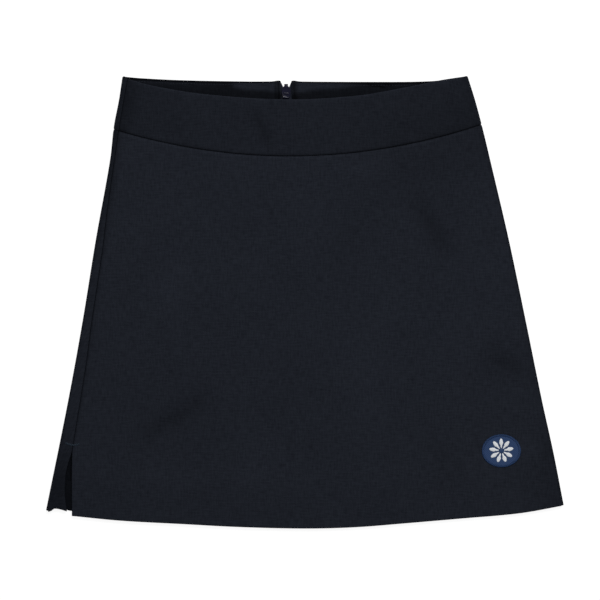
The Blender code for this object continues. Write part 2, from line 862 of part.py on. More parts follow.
def cylinder_object(name, middle, radius, width, material):
    """A cylinder on the pull tab's hinge line, along X."""
    mesh = bmesh.new()
    bmesh.ops.create_cone(
        mesh,
        cap_ends=True,
        segments=BAR_SIDES,
        radius1=radius * MM,
        radius2=radius * MM,
        depth=width * MM,
    )
    for vert in mesh.verts:
        x, y, z = vert.co
        vert.co = (z + middle * MM, y + HINGE_Y * MM, HINGE_Z * MM - x)
    return add_object(name, mesh, material)


def join_solid(target, other, operation):
    """Joins or cuts one solid with another by a Boolean, and keeps the other as a hidden helper."""
    modifier = target.modifiers.new(other.name, "BOOLEAN")
    modifier.operation = operation
    modifier.object = other
    other.hide_render = True
    other.display_type = "WIRE"


def build_zip(tape, coil, metal):
    tape_depth = CLOTH + SEAM_GAP
    tape_top = curve(BACK_TOP, CENTRE_BACK[0][1]) - TAPE_TOP_DROP
    for side, word in ((-1, "right"), (1, "left")):
        build_zip_strip(
            f"zip_tape_{word}",
            side,
            lambda y: max(notch_half(y), SEAM_GAP),
            TAPE_WIDTH,
            tape_top,
            CLOTH,
            tape_depth,
            tape,
        )
        build_zip_strip(
            f"zip_coil_{word}",
            side,
            lambda y: COIL_INNER,
            COIL_OUTER,
            COIL_TOP_Y,
            COIL_THICK,
            2 * tape_depth,
            coil,
        )
    build_slider(metal)
    build_pull(metal)


def main():
    clear_scene()
    cloth = make_material("navy_twill", (0.010, 0.013, 0.022), 0.85)
    lining = make_material("navy_facing", (0.009, 0.012, 0.020), 0.85)
    tape = make_material("navy_zip_tape", (0.008, 0.010, 0.018), 0.9)
    coil = make_material("navy_zip_coil", (0.010, 0.011, 0.028), 0.4)
    metal = make_material("navy_enamel", (0.014, 0.014, 0.045), 0.3, 0.2)
    build_panels(cloth)
    build_waistband(cloth, lining)
    build_zip(tape, coil, metal)


main()
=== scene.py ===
# %% [markdown]
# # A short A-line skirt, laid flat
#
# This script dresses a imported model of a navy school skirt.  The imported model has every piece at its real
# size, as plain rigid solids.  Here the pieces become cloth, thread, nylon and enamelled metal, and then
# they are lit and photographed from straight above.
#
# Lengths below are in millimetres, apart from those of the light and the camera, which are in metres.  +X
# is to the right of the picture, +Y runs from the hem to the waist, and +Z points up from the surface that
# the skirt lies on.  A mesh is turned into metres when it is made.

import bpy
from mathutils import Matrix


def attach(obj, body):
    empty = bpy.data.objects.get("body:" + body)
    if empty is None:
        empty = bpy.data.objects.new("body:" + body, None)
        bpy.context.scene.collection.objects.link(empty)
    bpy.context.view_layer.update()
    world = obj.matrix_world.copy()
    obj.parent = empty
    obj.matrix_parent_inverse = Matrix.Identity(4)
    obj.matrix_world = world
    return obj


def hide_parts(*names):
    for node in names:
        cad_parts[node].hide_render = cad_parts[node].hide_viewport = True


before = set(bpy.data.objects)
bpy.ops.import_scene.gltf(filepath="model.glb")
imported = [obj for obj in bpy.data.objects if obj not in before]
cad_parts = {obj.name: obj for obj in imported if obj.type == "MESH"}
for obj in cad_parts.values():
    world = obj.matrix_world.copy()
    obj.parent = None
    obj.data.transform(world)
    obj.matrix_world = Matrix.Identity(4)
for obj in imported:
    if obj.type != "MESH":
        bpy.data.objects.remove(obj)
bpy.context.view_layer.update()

# %% Modules and the unit of length
import math

import bpy
import numpy as np
from mathutils import Vector

MM = 0.001
print("one millimetre is", MM, "of Blender's units")

# %% [markdown]
# ## Smooth lines from short tables
#
# A pattern maker marks a few points and draws a smooth line through them with a curved ruler.  A curve
# object could do that here, but a function is easier to ask "where is the edge at this height?".  So each
# line of the skirt is a short table, and one function draws the smooth curve through it.

# %% The curve function
def curve(table, at, column=1):
    """A smooth curve through a table's points, straight beyond its ends.  at may be an array."""
    xs, ys = np.array(sorted((row[0], row[column]) for row in table)).T
    at = np.asarray(at, float)
    i = np.clip(np.searchsorted(xs, at, side="right") - 1, 0, len(xs) - 2)
    before = np.maximum(i - 1, 0)
    after = np.minimum(i + 2, len(xs) - 1)
    span = xs[i + 1] - xs[i]
    slope0 = (ys[i + 1] - ys[before]) / (xs[i + 1] - xs[before]) * span
    slope1 = (ys[after] - ys[i]) / (xs[after] - xs[i]) * span
    t = (at - xs[i]) / span
    between = (
        ys[i] * (1 + 2 * t) * (1 - t) ** 2
        + slope0 * t * (1 - t) ** 2
        + ys[i + 1] * t * t * (3 - 2 * t)
        + slope1 * t * t * (t - 1)
    )
    straight = ys[i] + (at - xs[i]) * (ys[i + 1] - ys[i]) / span
    return np.where((at < xs[0]) | (at > xs[-1]), straight, between)


def held_curve(table, at, column=1):
    """The curve, held at its end values beyond its ends."""
    ends = [row[0] for row in table]
    return curve(table, np.clip(at, min(ends), max(ends)), column)


def ease(t):
    """0 to 1 with soft ends."""
    t = np.clip(t, 0.0, 1.0)
    return t * t * (3 - 2 * t)


print("half way up a soft step:", float(ease(0.5)))

# %% [markdown]
# ## The outline of the laid skirt
#
# The skirt is a tube pressed flat.  Its front lies on top, its back lies on the table, and two round folds
# join them.  The left side seam has rolled onto the top and the right one has rolled underneath, which is
# how such a skirt settles when it is smoothed out by hand.  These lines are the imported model's own, so the
# cloth ends up exactly where the solids are.

# %% Side folds and top edges
FOLDS = {
    "left": (  # y, x
        (226.0, -182.5),
        (202.3, -186.1),
        (176.3, -191.1),
        (142.3, -195.0),
        (62.3, -209.3),
        (-17.7, -222.3),
        (-97.7, -236.8),
        (-208.4, -259.05),
    ),
    "right": (  # y, x
        (226.3, 162.8),
        (202.3, 170.3),
        (176.3, 177.3),
        (142.3, 185.5),
        (62.3, 204.2),
        (-17.7, 220.9),
        (-97.7, 237.2),
        (-148.7, 248.4),
        (-202.7, 258.9),
    ),
}
FRONT_TOP = (  # x, y
    (-182.5, 226.0),
    (-174.9, 222.8),
    (-149.9, 216.1),
    (-99.9, 208.0),
    (-19.9, 202.7),
    (50.1, 206.3),
    (100.1, 214.7),
    (135.1, 222.0),
    (162.8, 226.3),
)
BACK_TOP = (  # x, y
    (-182.5, 226.0),
    (-164.9, 224.4),
    (-124.9, 222.4),
    (-59.9, 221.1),
    (-18.9, 221.0),
    (75.1, 220.6),
    (120.1, 221.1),
    (145.1, 223.1),
    (162.8, 226.3),
)
print("top edge, fold to fold:", round(FRONT_TOP[-1][0] - FRONT_TOP[0][0]), "mm")

# %% Waist seams and hems
BACK_WAIST_SEAM = (  # x, y
    (-191.3, 173.1),
    (-100.0, 169.4),
    (-18.9, 168.3),
    (90.0, 169.6),
    (165.0, 174.6),
    (177.3, 178.1),
)
FRONT_HEM = (  # x, y
    (-232.9, -213.7),
    (-184.9, -218.4),
    (-124.9, -221.7),
    (-64.9, -224.8),
    (0.1, -226.3),
    (50.1, -225.0),
    (100.1, -221.1),
    (155.1, -216.4),
    (215.1, -211.0),
    (258.9, -203.2),
)
BACK_HEM = (  # x, y
    (-257.0, -206.6),
    (-250.0, -205.6),
    (-232.0, -209.2),
    (-180.0, -214.5),
    (-3.0, -223.4),
    (150.0, -213.5),
    (246.0, -201.8),
)
FLAP_HEM = (  # distance from the left fold, y: the strip of the back that lies on top beside the slit
    (0.0, -208.4),
    (4.0, -209.6),
    (8.5, -206.3),
    (25.0, -210.2),
)
WAIST_SEAM_LOW_X = -14.9
WAIST_SEAM_LOW_Y = 146.3
WAIST_SEAM_RISE = 0.00086  # the front's waist seam is a parabola: mm of rise for each square mm


def front_waist_seam(x):
    return WAIST_SEAM_LOW_Y + WAIST_SEAM_RISE * (x - WAIST_SEAM_LOW_X) ** 2


hem_width = float(curve(FOLDS["right"], BACK_HEM[-1][1]) - curve(FOLDS["left"], BACK_HEM[0][1]))
print("hem, fold to fold:", round(hem_width), "mm")

# %% Side seams, slits and centre back
LEFT_SEAM = (  # y, x
    (225.3, -176.8),
    (176.3, -185.3),
    (93.3, -197.4),
    (52.3, -202.4),
    (-24.2, -213.8),
    (-62.7, -218.9),
    (-140.7, -231.4),
    (-152.0, -232.8),
    (-213.0, -233.0),
)
LEFT_SLIT_SPREAD = (  # y, how far the back's edge of the left slit stands off
    (-142.0, 0.0),
    (-150.0, 0.4),
    (-158.0, 2.6),
    (-167.0, 5.0),
    (-177.0, 6.3),
    (-193.0, 6.7),
    (-211.0, 4.6),
)
RIGHT_SEAM_INSET = (  # y, distance from the right fold to the side seam underneath
    (226.0, 5.0),
    (176.0, 6.0),
    (62.0, 7.0),
    (-97.0, 9.5),
    (-148.7, 11.5),
    (-205.0, 15.0),
)
RIGHT_SLIT_SPREAD = (  # y, how far apart the edges of the right slit lie
    (-148.0, 0.0),
    (-165.0, 1.6),
    (-205.0, 3.0),
)
CENTRE_BACK = (  # y, x
    (221.0, -18.9),
    (-223.4, -3.0),
)
NOTCH = (  # y, half width of the gap between the two back halves at the top of the zip
    (221.3, 5.6),
    (218.3, 4.3),
    (215.3, 2.9),
    (212.3, 1.6),
    (208.3, 0.5),
    (205.3, 0.15),
)


def left_seam(y):
    return curve(LEFT_SEAM, y)


def centre_back(y):
    return curve(CENTRE_BACK, y)


print("centre back seam leans by", round(CENTRE_BACK[1][1] - CENTRE_BACK[0][1], 1), "mm")

# %% [markdown]
# ## How high each layer lies
#
# Cloth that has been smoothed out by hand still holds some air.  The waistband gapes in the middle, the
# closed zip pushes up a long soft ridge, and the turned-up hem is thicker than the rest.  These main
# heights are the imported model's, and the finer relief comes on top of them in the next step.

# %% Main heights
CLOTH = 1.0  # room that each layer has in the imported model
SEAM_GAP = 0.3
DOUBLE = 2 * CLOTH + SEAM_GAP  # cloth that is turned back on itself
PANEL_HEIGHTS = (  # y, at the fold, inside
    (176.3, 4.7, 3.9),
    (142.3, 4.3, 3.7),
    (62.3, 3.8, 3.4),
    (-17.7, 3.6, 3.1),
    (-97.7, 3.6, 3.1),
    (-160.0, 4.0, 3.2),
    (-226.0, 4.6, 3.8),
)
SEAM_STEP = 0.6  # the panel starts this far below the waistband's skin
SEAM_RELAX = 80.0  # and has its own height again after this distance
HEM_TURN_UP = 30.0
HEM_FOLD_HEIGHT = 5.4
HEM_INSIDE_HEIGHT = 5.1
HEM_RISE_FULL = 33.0
HEM_RISE_END = 68.0
FOLD_RELAX = 48.0
BAND_FOLD_HEIGHT = 5.0
MOUTH_LIFT_TOP = 3.3  # how far the middle of the waistband gapes at its top edge
MOUTH_LIFT_SEAM = 1.4  # and at its seam
MOUTH_POWER = 1.5
ZIP_END_Y = 44.0
ZIP_RIDGE_BAND = 0.7
ZIP_RIDGE_PANEL = 2.3
ZIP_RIDGE_WIDTH = 24.0
ZIP_RIDGE_FADE = 45.0
PULL_LIFT = 1.5
PULL_LIFT_FULL_Y = 190.0
PULL_LIFT_END_Y = 170.0
PULL_LIFT_FLAT = 4.0
PULL_LIFT_WIDTH = 32.0


def from_folds(x, y):
    """Distance to the nearer side fold."""
    return np.minimum(x - curve(FOLDS["left"], y), curve(FOLDS["right"], y) - x)


def hem_share(x, y):
    """1 where the turned-up hem lies, 0 well above it."""
    above = y - curve(FRONT_HEM, x)
    return 1 - ease((above - HEM_RISE_FULL) / (HEM_RISE_END - HEM_RISE_FULL))


def zip_ridge(x, y):
    return np.exp(-(((x - centre_back(y)) / ZIP_RIDGE_WIDTH) ** 2))


def pull_lift(x, y):
    """The back lies on the zip's pull tab, and stands off the table there."""
    away = np.abs(x - centre_back(y)) - PULL_LIFT_FLAT
    down = (PULL_LIFT_FULL_Y - y) / (PULL_LIFT_FULL_Y - PULL_LIFT_END_Y)
    return PULL_LIFT * (1 - ease(away / PULL_LIFT_WIDTH)) * (1 - ease(down))


def panel_fold_height(x, y):
    low = held_curve(PANEL_HEIGHTS, y)
    return low + (HEM_FOLD_HEIGHT - low) * hem_share(x, y)


def band_height(x, y):
    """Outer skin of the front waistband."""
    left, right = curve(FOLDS["left"], y), curve(FOLDS["right"], y)
    across = (2 * x - left - right) / (right - left)
    mouth = np.maximum(1 - across * across, 0.0) ** MOUTH_POWER
    seam = front_waist_seam(x)
    up = (y - seam) / (curve(FRONT_TOP, x) - seam)
    lift = MOUTH_LIFT_SEAM + (MOUTH_LIFT_TOP - MOUTH_LIFT_SEAM) * up
    return BAND_FOLD_HEIGHT + mouth * (lift + ZIP_RIDGE_BAND * zip_ridge(x, y))


def panel_height(x, y):
    """Outer skin of the front panel, and of the back's strip beside it."""
    fold = panel_fold_height(x, y)
    inside = held_curve(PANEL_HEIGHTS, y, 2)
    inside = inside + zip_ridge(x, y) * ZIP_RIDGE_PANEL * ease((y - ZIP_END_Y) / ZIP_RIDGE_FADE + 1)
    seam = front_waist_seam(x)
    at_seam = band_height(x, seam) - SEAM_STEP
    inside = inside + (at_seam - inside) * (1 - ease((seam - y) / SEAM_RELAX))
    inside = inside + (HEM_INSIDE_HEIGHT - inside) * hem_share(x, y)
    return fold + (inside - fold) * ease((from_folds(x, y) - fold / 2) / FOLD_RELAX)


band_middle = float(band_height(WAIST_SEAM_LOW_X, curve(FRONT_TOP, WAIST_SEAM_LOW_X)))
print("waistband at the middle of its top edge:", round(band_middle, 1), "mm high")

# %% [markdown]
# ## Creases, ripples and puckers
#
# Pressed twill is never quite flat: it keeps a few long soft creases from how it was folded, it ripples a
# little, and it puckers along its seams, because the thread draws it up.  A cloth simulation could make
# such folds, but it would not put them where this skirt has them.  So each crease is a row of a table, and
# the ripples are a few long waves that are not in step with each other.

# %% Creases, ripples and puckers as tables
CREASES = (  # x0, y0, x1, y1, half width, height
    (-88.0, -84.0, -185.0, -153.0, 18.0, -1.0),
    (106.0, 114.0, 150.0, 30.0, 17.0, -1.1),
    (170.0, -40.0, 232.0, -82.0, 18.0, -0.9),
)
FINE_CREASES = (  # x0, y0, x1, y1, half width, height
    (-92.0, -92.0, -172.0, -142.0, 7.0, -0.45),
    (110.0, 104.0, 146.0, 44.0, 8.0, -0.5),
    (176.0, -46.0, 226.0, -76.0, 7.0, -0.4),
    (176.0, 84.0, 190.0, 50.0, 6.0, -0.3),
    (200.0, -146.0, 250.0, -150.0, 7.0, 0.45),
    (22.0, 128.0, 98.0, 140.0, 9.0, 0.4),
    (96.0, 166.0, 128.0, 158.0, 6.0, 0.35),
    (-160.0, 167.0, -122.0, 156.0, 6.0, 0.35),
    (-51.0, 193.0, -33.0, 150.0, 5.5, -0.85),
    (-178.0, 212.0, -184.0, 178.0, 3.5, -0.5),
    (-120.0, 60.0, -150.0, -20.0, 15.0, 0.35),
    (40.0, -20.0, 70.0, -140.0, 22.0, 0.3),
    (-30.0, -120.0, -60.0, -190.0, 18.0, 0.3),
    (120.0, -120.0, 150.0, -190.0, 15.0, -0.3),
    (60.0, 90.0, 20.0, 20.0, 20.0, -0.3),
)
UNDER_CREASES = (  # x0, y0, x1, y1, half width, height: the table holds the cloth up, so all are ridges
    (80.0, 120.0, 150.0, 20.0, 12.0, 0.55),
    (-70.0, 90.0, -150.0, -40.0, 14.0, 0.6),
    (60.0, -40.0, 170.0, -120.0, 13.0, 0.5),
    (-40.0, -60.0, -120.0, -150.0, 12.0, 0.5),
    (120.0, 150.0, 150.0, 60.0, 8.0, 0.35),
    (-120.0, 150.0, -160.0, 70.0, 9.0, 0.4),
    (30.0, 40.0, 50.0, -80.0, 11.0, 0.35),
)
RIPPLES = (  # length, direction in degrees, phase, height
    (118.0, 12.0, 0.4, 0.11),
    (83.0, 74.0, 2.1, 0.09),
    (61.0, 141.0, 4.4, 0.07),
    (43.0, 98.0, 1.3, 0.05),
    (29.0, 33.0, 5.2, 0.03),
)
PUCKERS = (  # length, phase, height
    (31.0, 0.3, 0.20),
    (19.5, 2.2, 0.17),
    (12.7, 4.9, 0.08),
)
print("creases:", len(CREASES) + len(FINE_CREASES) + len(UNDER_CREASES), "ripples:", len(RIPPLES))

# %% Functions for each kind of relief
PUCKER_REACH = 10.0  # a pucker fades out over this distance from its seam
PUCKER_SWELL = 0.35  # puckers come and go along the seam by this share
PUCKER_SWELL_LENGTH = 37.0
SIDE_PUCKERS = 0.6  # those of the left side seam, as a share of the waist seam's
SIDE_PUCKER_SHIFT = 400.0
SIDE_PUCKER_END_Y = -150.0
SIDE_PUCKER_FADE = 20.0


def bell(distance, width):
    """1 at no distance, falling softly to 0."""
    return np.exp(-((distance / width) ** 2))


def creases(table, x, y):
    """Long soft folds, highest at the middle of their line."""
    total = np.zeros(np.broadcast(x, y).shape)
    for x0, y0, x1, y1, half_width, height in table:
        dx, dy = x1 - x0, y1 - y0
        near = np.clip(((x - x0) * dx + (y - y0) * dy) / (dx * dx + dy * dy), 0.0, 1.0)
        away = np.hypot(x - x0 - near * dx, y - y0 - near * dy)
        total = total + height * bell(away, half_width) * np.sin(math.pi * near)
    return total


def ripples(x, y, shift=0.0):
    """A sum of long waves that cross each other."""
    total = 0.0
    for length, direction, phase, height in RIPPLES:
        angle = math.radians(direction)
        along = x * math.cos(angle) + y * math.sin(angle)
        total = total + height * np.sin(2 * math.pi * along / length + phase + shift)
    return total


def puckers(along, away):
    """Small uneven waves along a seam, at a distance from it."""
    total = 0.0
    for length, phase, height in PUCKERS:
        total = total + height * np.sin(2 * math.pi * along / length + phase)
    swell = 1 - PUCKER_SWELL + PUCKER_SWELL * np.sin(along / PUCKER_SWELL_LENGTH)
    return total * bell(away, PUCKER_REACH) * swell


def seam_puckers(x, y):
    """Puckers along the waist seam, and weaker ones down the left side seam."""
    waist = puckers(x, y - front_waist_seam(x))
    side = puckers(y + SIDE_PUCKER_SHIFT, x - left_seam(y))
    return waist + SIDE_PUCKERS * side * ease((y - SIDE_PUCKER_END_Y) / SIDE_PUCKER_FADE)


print("a bell at its width:", round(float(bell(1.0, 1.0)), 2))

# %% The skins with their relief
FOLD_MARGIN = 3.0  # relief starts this far from a side fold
PANEL_RELIEF_RUN = 22.0  # and is full after this distance more
BAND_RELIEF_RUN = 9.0
UNDER_RELIEF_RUN = 30.0
HEM_CALM = 0.5  # the doubled hem ripples less by this share
SEAM_RIDGE = 0.2  # the panel swells a little just below the waist seam
SEAM_RIDGE_AWAY = 3.0
SEAM_RIDGE_WIDTH = 1.6
BAND_SHARE = 0.8  # the faced waistband is stiffer, so it ripples and puckers less
RIM_WAVE = 0.9  # small waves of its top edge, as a share of the puckers'
RIM_WAVE_SHIFT = 60.0
RIM_WAVE_FADE = 1.5
UNDER_RIPPLES = 1.3
UNDER_RIPPLE_SHIFT = 1.7
UNDER_HEM_CALM = 0.8
UNDER_ZIP_CALM = 0.6


def clear_of_folds(x, y, run):
    """0 at the side folds, 1 away from them."""
    return ease((from_folds(x, y) - FOLD_MARGIN) / run)


def panel_top(x, y):
    """Outer skin of the front panel and of the back's strip beside it, with all relief."""
    relief = creases(CREASES, x, y) * clear_of_folds(x, y, FOLD_RELAX) + creases(FINE_CREASES, x, y)
    relief = relief + ripples(x, y) * (1 - HEM_CALM * hem_share(x, y)) + seam_puckers(x, y)
    relief = relief + SEAM_RIDGE * bell(y - front_waist_seam(x) + SEAM_RIDGE_AWAY, SEAM_RIDGE_WIDTH)
    return panel_height(x, y) + relief * clear_of_folds(x, y, PANEL_RELIEF_RUN)


def band_top(x, y):
    """Outer skin of the waistband with all relief."""
    relief = creases(FINE_CREASES, x, y) + BAND_SHARE * (ripples(x, y) + seam_puckers(x, y))
    relief = relief + RIM_WAVE * puckers(x + RIM_WAVE_SHIFT, RIM_WAVE_FADE * (y - curve(FRONT_TOP, x)))
    return band_height(x, y) + relief * clear_of_folds(x, y, BAND_RELIEF_RUN)


def under_height(x, y):
    """How far the layer underneath stands off the table."""
    soft = creases(UNDER_CREASES, x, y)
    soft = soft + np.maximum(UNDER_RIPPLES * ripples(x, y, UNDER_RIPPLE_SHIFT), 0.0)
    soft = soft + np.maximum(puckers(x, y - curve(BACK_WAIST_SEAM, x)), 0.0)
    calm = (1 - UNDER_HEM_CALM * hem_share(x, y)) * (1 - UNDER_ZIP_CALM * zip_ridge(x, y))
    return pull_lift(x, y) + soft * clear_of_folds(x, y, UNDER_RELIEF_RUN) * calm


grid_x, grid_y = np.meshgrid(np.arange(-150, 151, 10.0), np.arange(-180, 121, 10.0))
front_relief = panel_top(grid_x, grid_y) - panel_height(grid_x, grid_y)
print("relief of the front:", front_relief.min().round(2), "to", front_relief.max().round(2), "mm")

# %% [markdown]
# ## Light and shade painted on the cloth
#
# The twill's colour carries painted light and shade, stored as an attribute, one number for each point, which
# the material multiplies its colour by.  The waistband and the strip of the back beside the left seam are
# painted darker, seam hollows, fold edges and crease valleys get painted shade, and the slits a deep painted
# shadow.  The band's rolled rim and a line below the waist seam get a painted highlight.  The wrong side is
# darker, partly as its own weave and partly as painted shade.

# %% Painted light and shade of the cloth's faces and edges
# painted shade over the whole waistband
BAND_PAINTED_SHADE = 0.84
RIM_PAINTED_HIGHLIGHT = 0.14  # painted highlight: the band's rolled rim is lighter by this
RIM_WIDTH = 2.6
UNDER_TONE = 0.95
# painted shade on the outside of the side folds
FOLD_PAINTED_SHADE = 0.62
# the inside faces: a darker wrong side, partly its own weave and partly painted shade
WRONG_SIDE_AND_PAINTED_SHADE = 0.5
# painted shade on the inside of the back waistband's rolled top edge
BACK_RIM_PAINTED_SHADE = 0.3
SLIT_PAINTED_SHADOW = 0.29  # painted shadow on what shows deep in the slit
SLIT_TOP_Y = -141.0
SLIT_REACH = 6.0
STRIP_PAINTED_SHADE = (  # y, painted shade of the back's strip on top, how much more painted shade beside the fold
    (215.0, 0.62, 0.05),
    (180.0, 0.60, 0.05),
    (168.0, 0.50, 0.05),
    (155.0, 0.66, 0.10),
    (135.0, 0.66, 0.10),
    (110.0, 0.76, 0.15),
    (75.0, 0.88, 0.30),
    (50.0, 0.90, 0.28),
    (20.0, 0.88, 0.10),
    (-100.0, 0.91, 0.05),
    (-134.0, 0.86, 0.05),
    (-152.0, 0.74, 0.05),
    (-175.0, 0.56, 0.05),
    (-207.0, 0.62, 0.05),
)
STRIP_FOLD_REACH = 4.5
EDGE_PAINTED_SHADE = (  # y, painted shade of the front at the right fold, how far the painted shade reaches
    (215.0, 0.85, 8.0),
    (100.0, 0.90, 4.0),
    (0.0, 0.85, 4.0),
    (-80.0, 0.88, 8.0),
    (-135.0, 0.88, 10.0),
    (-148.0, 0.68, 16.0),
    (-160.0, 0.82, 26.0),
    (-175.0, 0.80, 34.0),
    (-205.0, 0.84, 30.0),
)
print("tones down the left strip:", len(STRIP_PAINTED_SHADE), "and down the right fold:", len(EDGE_PAINTED_SHADE))

# %% Shades at the seams and creases
SIDE_SEAM_SHADE = (  # y, soft shade on the front's side of the left seam, how far it reaches, in its hollow
    (215.0, 0.05, 3.0, 0.0),
    (178.0, 0.05, 3.0, 0.0),
    (170.0, 0.24, 4.5, 0.05),
    (90.0, 0.24, 4.5, 0.10),
    (40.0, 0.20, 2.8, 0.15),
    (-140.0, 0.18, 2.4, 0.12),
)
BAND_LEFT_PAINTED_SHADE = 0.66  # painted shade on the waistband's front beside the left seam
BAND_LEFT_FLAT = 4.0
BAND_LEFT_REACH = 16.0
HOLLOW_SHADE = 0.42  # in the waist seam
HOLLOW_WIDTH = 0.9
SEAM_LINE_WIDTH = 0.7
CREASE_SHADE = 0.12  # a crease is darker in its valley by this much for each mm
FINE_CREASE_SHADE = 0.3
WAIST_SHADE = 0.10  # soft shade above the waist seam, and a lighter line below it
WAIST_SHADE_REACH = 2.8
WAIST_LIGHT = 0.04
CORNER_SHADE = 0.17  # a broad soft shade on the front where the waist seam climbs to the right
CORNER_SHADE_RUN = 110.0
CORNER_SHADE_DOWN = 15.0
CORNER_SHADE_HALF = 45.0
BAND_END_SHADE = 0.07  # the waistband is a little darker towards both ends
BAND_END_AWAY = 90.0
BAND_END_RUN = 30.0
SEAM_END_FADE = 6.0  # the seam's shade fades out over this distance above the slit
NO_SEAM = 9.0  # beside the slit there is no seam, so it counts as this far away
print("tone of the waistband:", BAND_PAINTED_SHADE, "and beside its left seam:", BAND_LEFT_PAINTED_SHADE)

# %% Painted light and shade on each side of the cloth
def strip_painted_shade(x, y):
    """Painted shade on the back's strip beside the left seam, beside its fold and in its seam's hollow."""
    from_fold = x - curve(FOLDS["left"], y)
    from_seam = np.where(y > SLIT_TOP_Y, left_seam(y) - x, NO_SEAM)
    fold = held_curve(STRIP_PAINTED_SHADE, y, 2) * bell(from_fold, STRIP_FOLD_REACH)
    seam = held_curve(SIDE_SEAM_SHADE, y, 3) * bell(from_seam, HOLLOW_WIDTH)
    return held_curve(STRIP_PAINTED_SHADE, y) * (1 - fold - seam)


def front_painted_shading(x, y, is_band):
    """Painted light and shade on the front panel or the waistband's front: its seams, creases, right edge and
    rim.
    """
    from_right = curve(FOLDS["right"], y) - x
    dark = (1 - held_curve(EDGE_PAINTED_SHADE, y)) * bell(from_right, held_curve(EDGE_PAINTED_SHADE, y, 2))
    from_left = x - left_seam(y)
    sewn = ease((y - SLIT_TOP_Y) / SEAM_END_FADE)
    side = held_curve(SIDE_SEAM_SHADE, y, 3) * bell(from_left, HOLLOW_WIDTH)
    side = side + held_curve(SIDE_SEAM_SHADE, y, 1) * bell(from_left, held_curve(SIDE_SEAM_SHADE, y, 2))
    above = y - front_waist_seam(x)
    hollow = HOLLOW_SHADE * bell(above, SEAM_LINE_WIDTH)
    crease = CREASE_SHADE * creases(CREASES, x, y) + FINE_CREASE_SHADE * creases(FINE_CREASES, x, y)
    corner = CORNER_SHADE * ease(x / CORNER_SHADE_RUN) * bell(above + CORNER_SHADE_DOWN, CORNER_SHADE_HALF)
    base = 1 - dark - sewn * side - hollow + crease - corner
    if not is_band:
        return base + WAIST_LIGHT * bell(above + SEAM_RIDGE_AWAY, SEAM_RIDGE_WIDTH)
    left = (BAND_PAINTED_SHADE - BAND_LEFT_PAINTED_SHADE) * (1 - ease((from_left - BAND_LEFT_FLAT) / BAND_LEFT_REACH))
    rim = RIM_PAINTED_HIGHLIGHT * bell(curve(FRONT_TOP, x) - y, RIM_WIDTH)
    ends = BAND_END_SHADE * ease((np.abs(x - WAIST_SEAM_LOW_X) - BAND_END_AWAY) / BAND_END_RUN)
    return base * (BAND_PAINTED_SHADE - left + rim - ends) - WAIST_SHADE * bell(above, WAIST_SHADE_REACH)


def under_painted_shade(x, y):
    """Painted shade on the back underneath: in its seams and along its creases."""
    waist = bell(y - curve(BACK_WAIST_SEAM, x), SEAM_LINE_WIDTH)
    hollow = np.minimum(waist + bell(x - centre_back(y), HOLLOW_WIDTH), 1)
    return UNDER_TONE - HOLLOW_SHADE * hollow - CREASE_SHADE * creases(UNDER_CREASES, x, y)


def painted_shading(kind, x, y, inside, piece):
    """The painted light and shade at a point.  inside is true on faces that look into the skirt."""
    if kind == "top":
        outside = strip_painted_shade(x, y) if "back" in piece else front_painted_shading(x, y, "waistband" in piece)
        return np.where(inside, WRONG_SIDE_AND_PAINTED_SHADE, outside)
    in_slit = (x < left_seam(y) + SLIT_REACH) & (y < SLIT_TOP_Y)
    seen = np.where(in_slit, SLIT_PAINTED_SHADOW, BACK_RIM_PAINTED_SHADE if "waistband_back" in piece else WRONG_SIDE_AND_PAINTED_SHADE)
    return np.where(inside, seen, FOLD_PAINTED_SHADE if kind in FOLDS else under_painted_shade(x, y))


print("tone in the middle of the panel:", round(float(front_painted_shading(0.0, 0.0, False)), 2))

# %% [markdown]
# ## A maker of cloth walls
#
# A sheet of cloth has two faces and a thin edge all round.  It could be one surface with a Solidify
# modifier, but here the edges matter: they roll into the seams, and the hem turns back on itself.  So each
# piece is made as two grids of points, the outer and the inner face, whose borders are then joined.
# The columns of a grid run across the skirt, and may carry on round a side fold and along underneath.
# The rows run down it.  The UV map is the cloth laid out flat, in metres, for the weave to follow.

# %% Columns of a piece, in runs
THICK = 0.7  # the cloth itself, which is thinner than the room that it has
ROLL_DEPTH = 0.6  # an edge rolls in this far at a seam
ROLL_WIDTH = 2.0
ROLL_STEPS = (0.0, 0.25, 0.6, 1.2)
FOLD_ANGLES = np.linspace(-80, 80, 17)
SETTLE_PASSES = 6


def rolled(distance):
    """How deep a rolled edge lies at a distance from it."""
    return ROLL_DEPTH * (1 - distance / ROLL_WIDTH) ** 2


def across(count, edges="", towards=1):
    """Stations along a run: (share of its length, shift, how far the outer face rolls in).

    Each edge named, start or end, rolls into its seam.  towards is -1 for a run towards -X.
    """
    first = ROLL_WIDTH if "start" in edges else 0.0
    last = ROLL_WIDTH if "end" in edges else 0.0
    stations = [(0.0, towards * d, rolled(d)) for d in ROLL_STEPS] if first else []
    for i in range(count + 1):
        share = i / count
        stations.append((share, towards * (first * (1 - share) - last * share), 0.0))
    if last:
        stations += [(1.0, -towards * d, rolled(d)) for d in ROLL_STEPS[::-1]]
    return stations


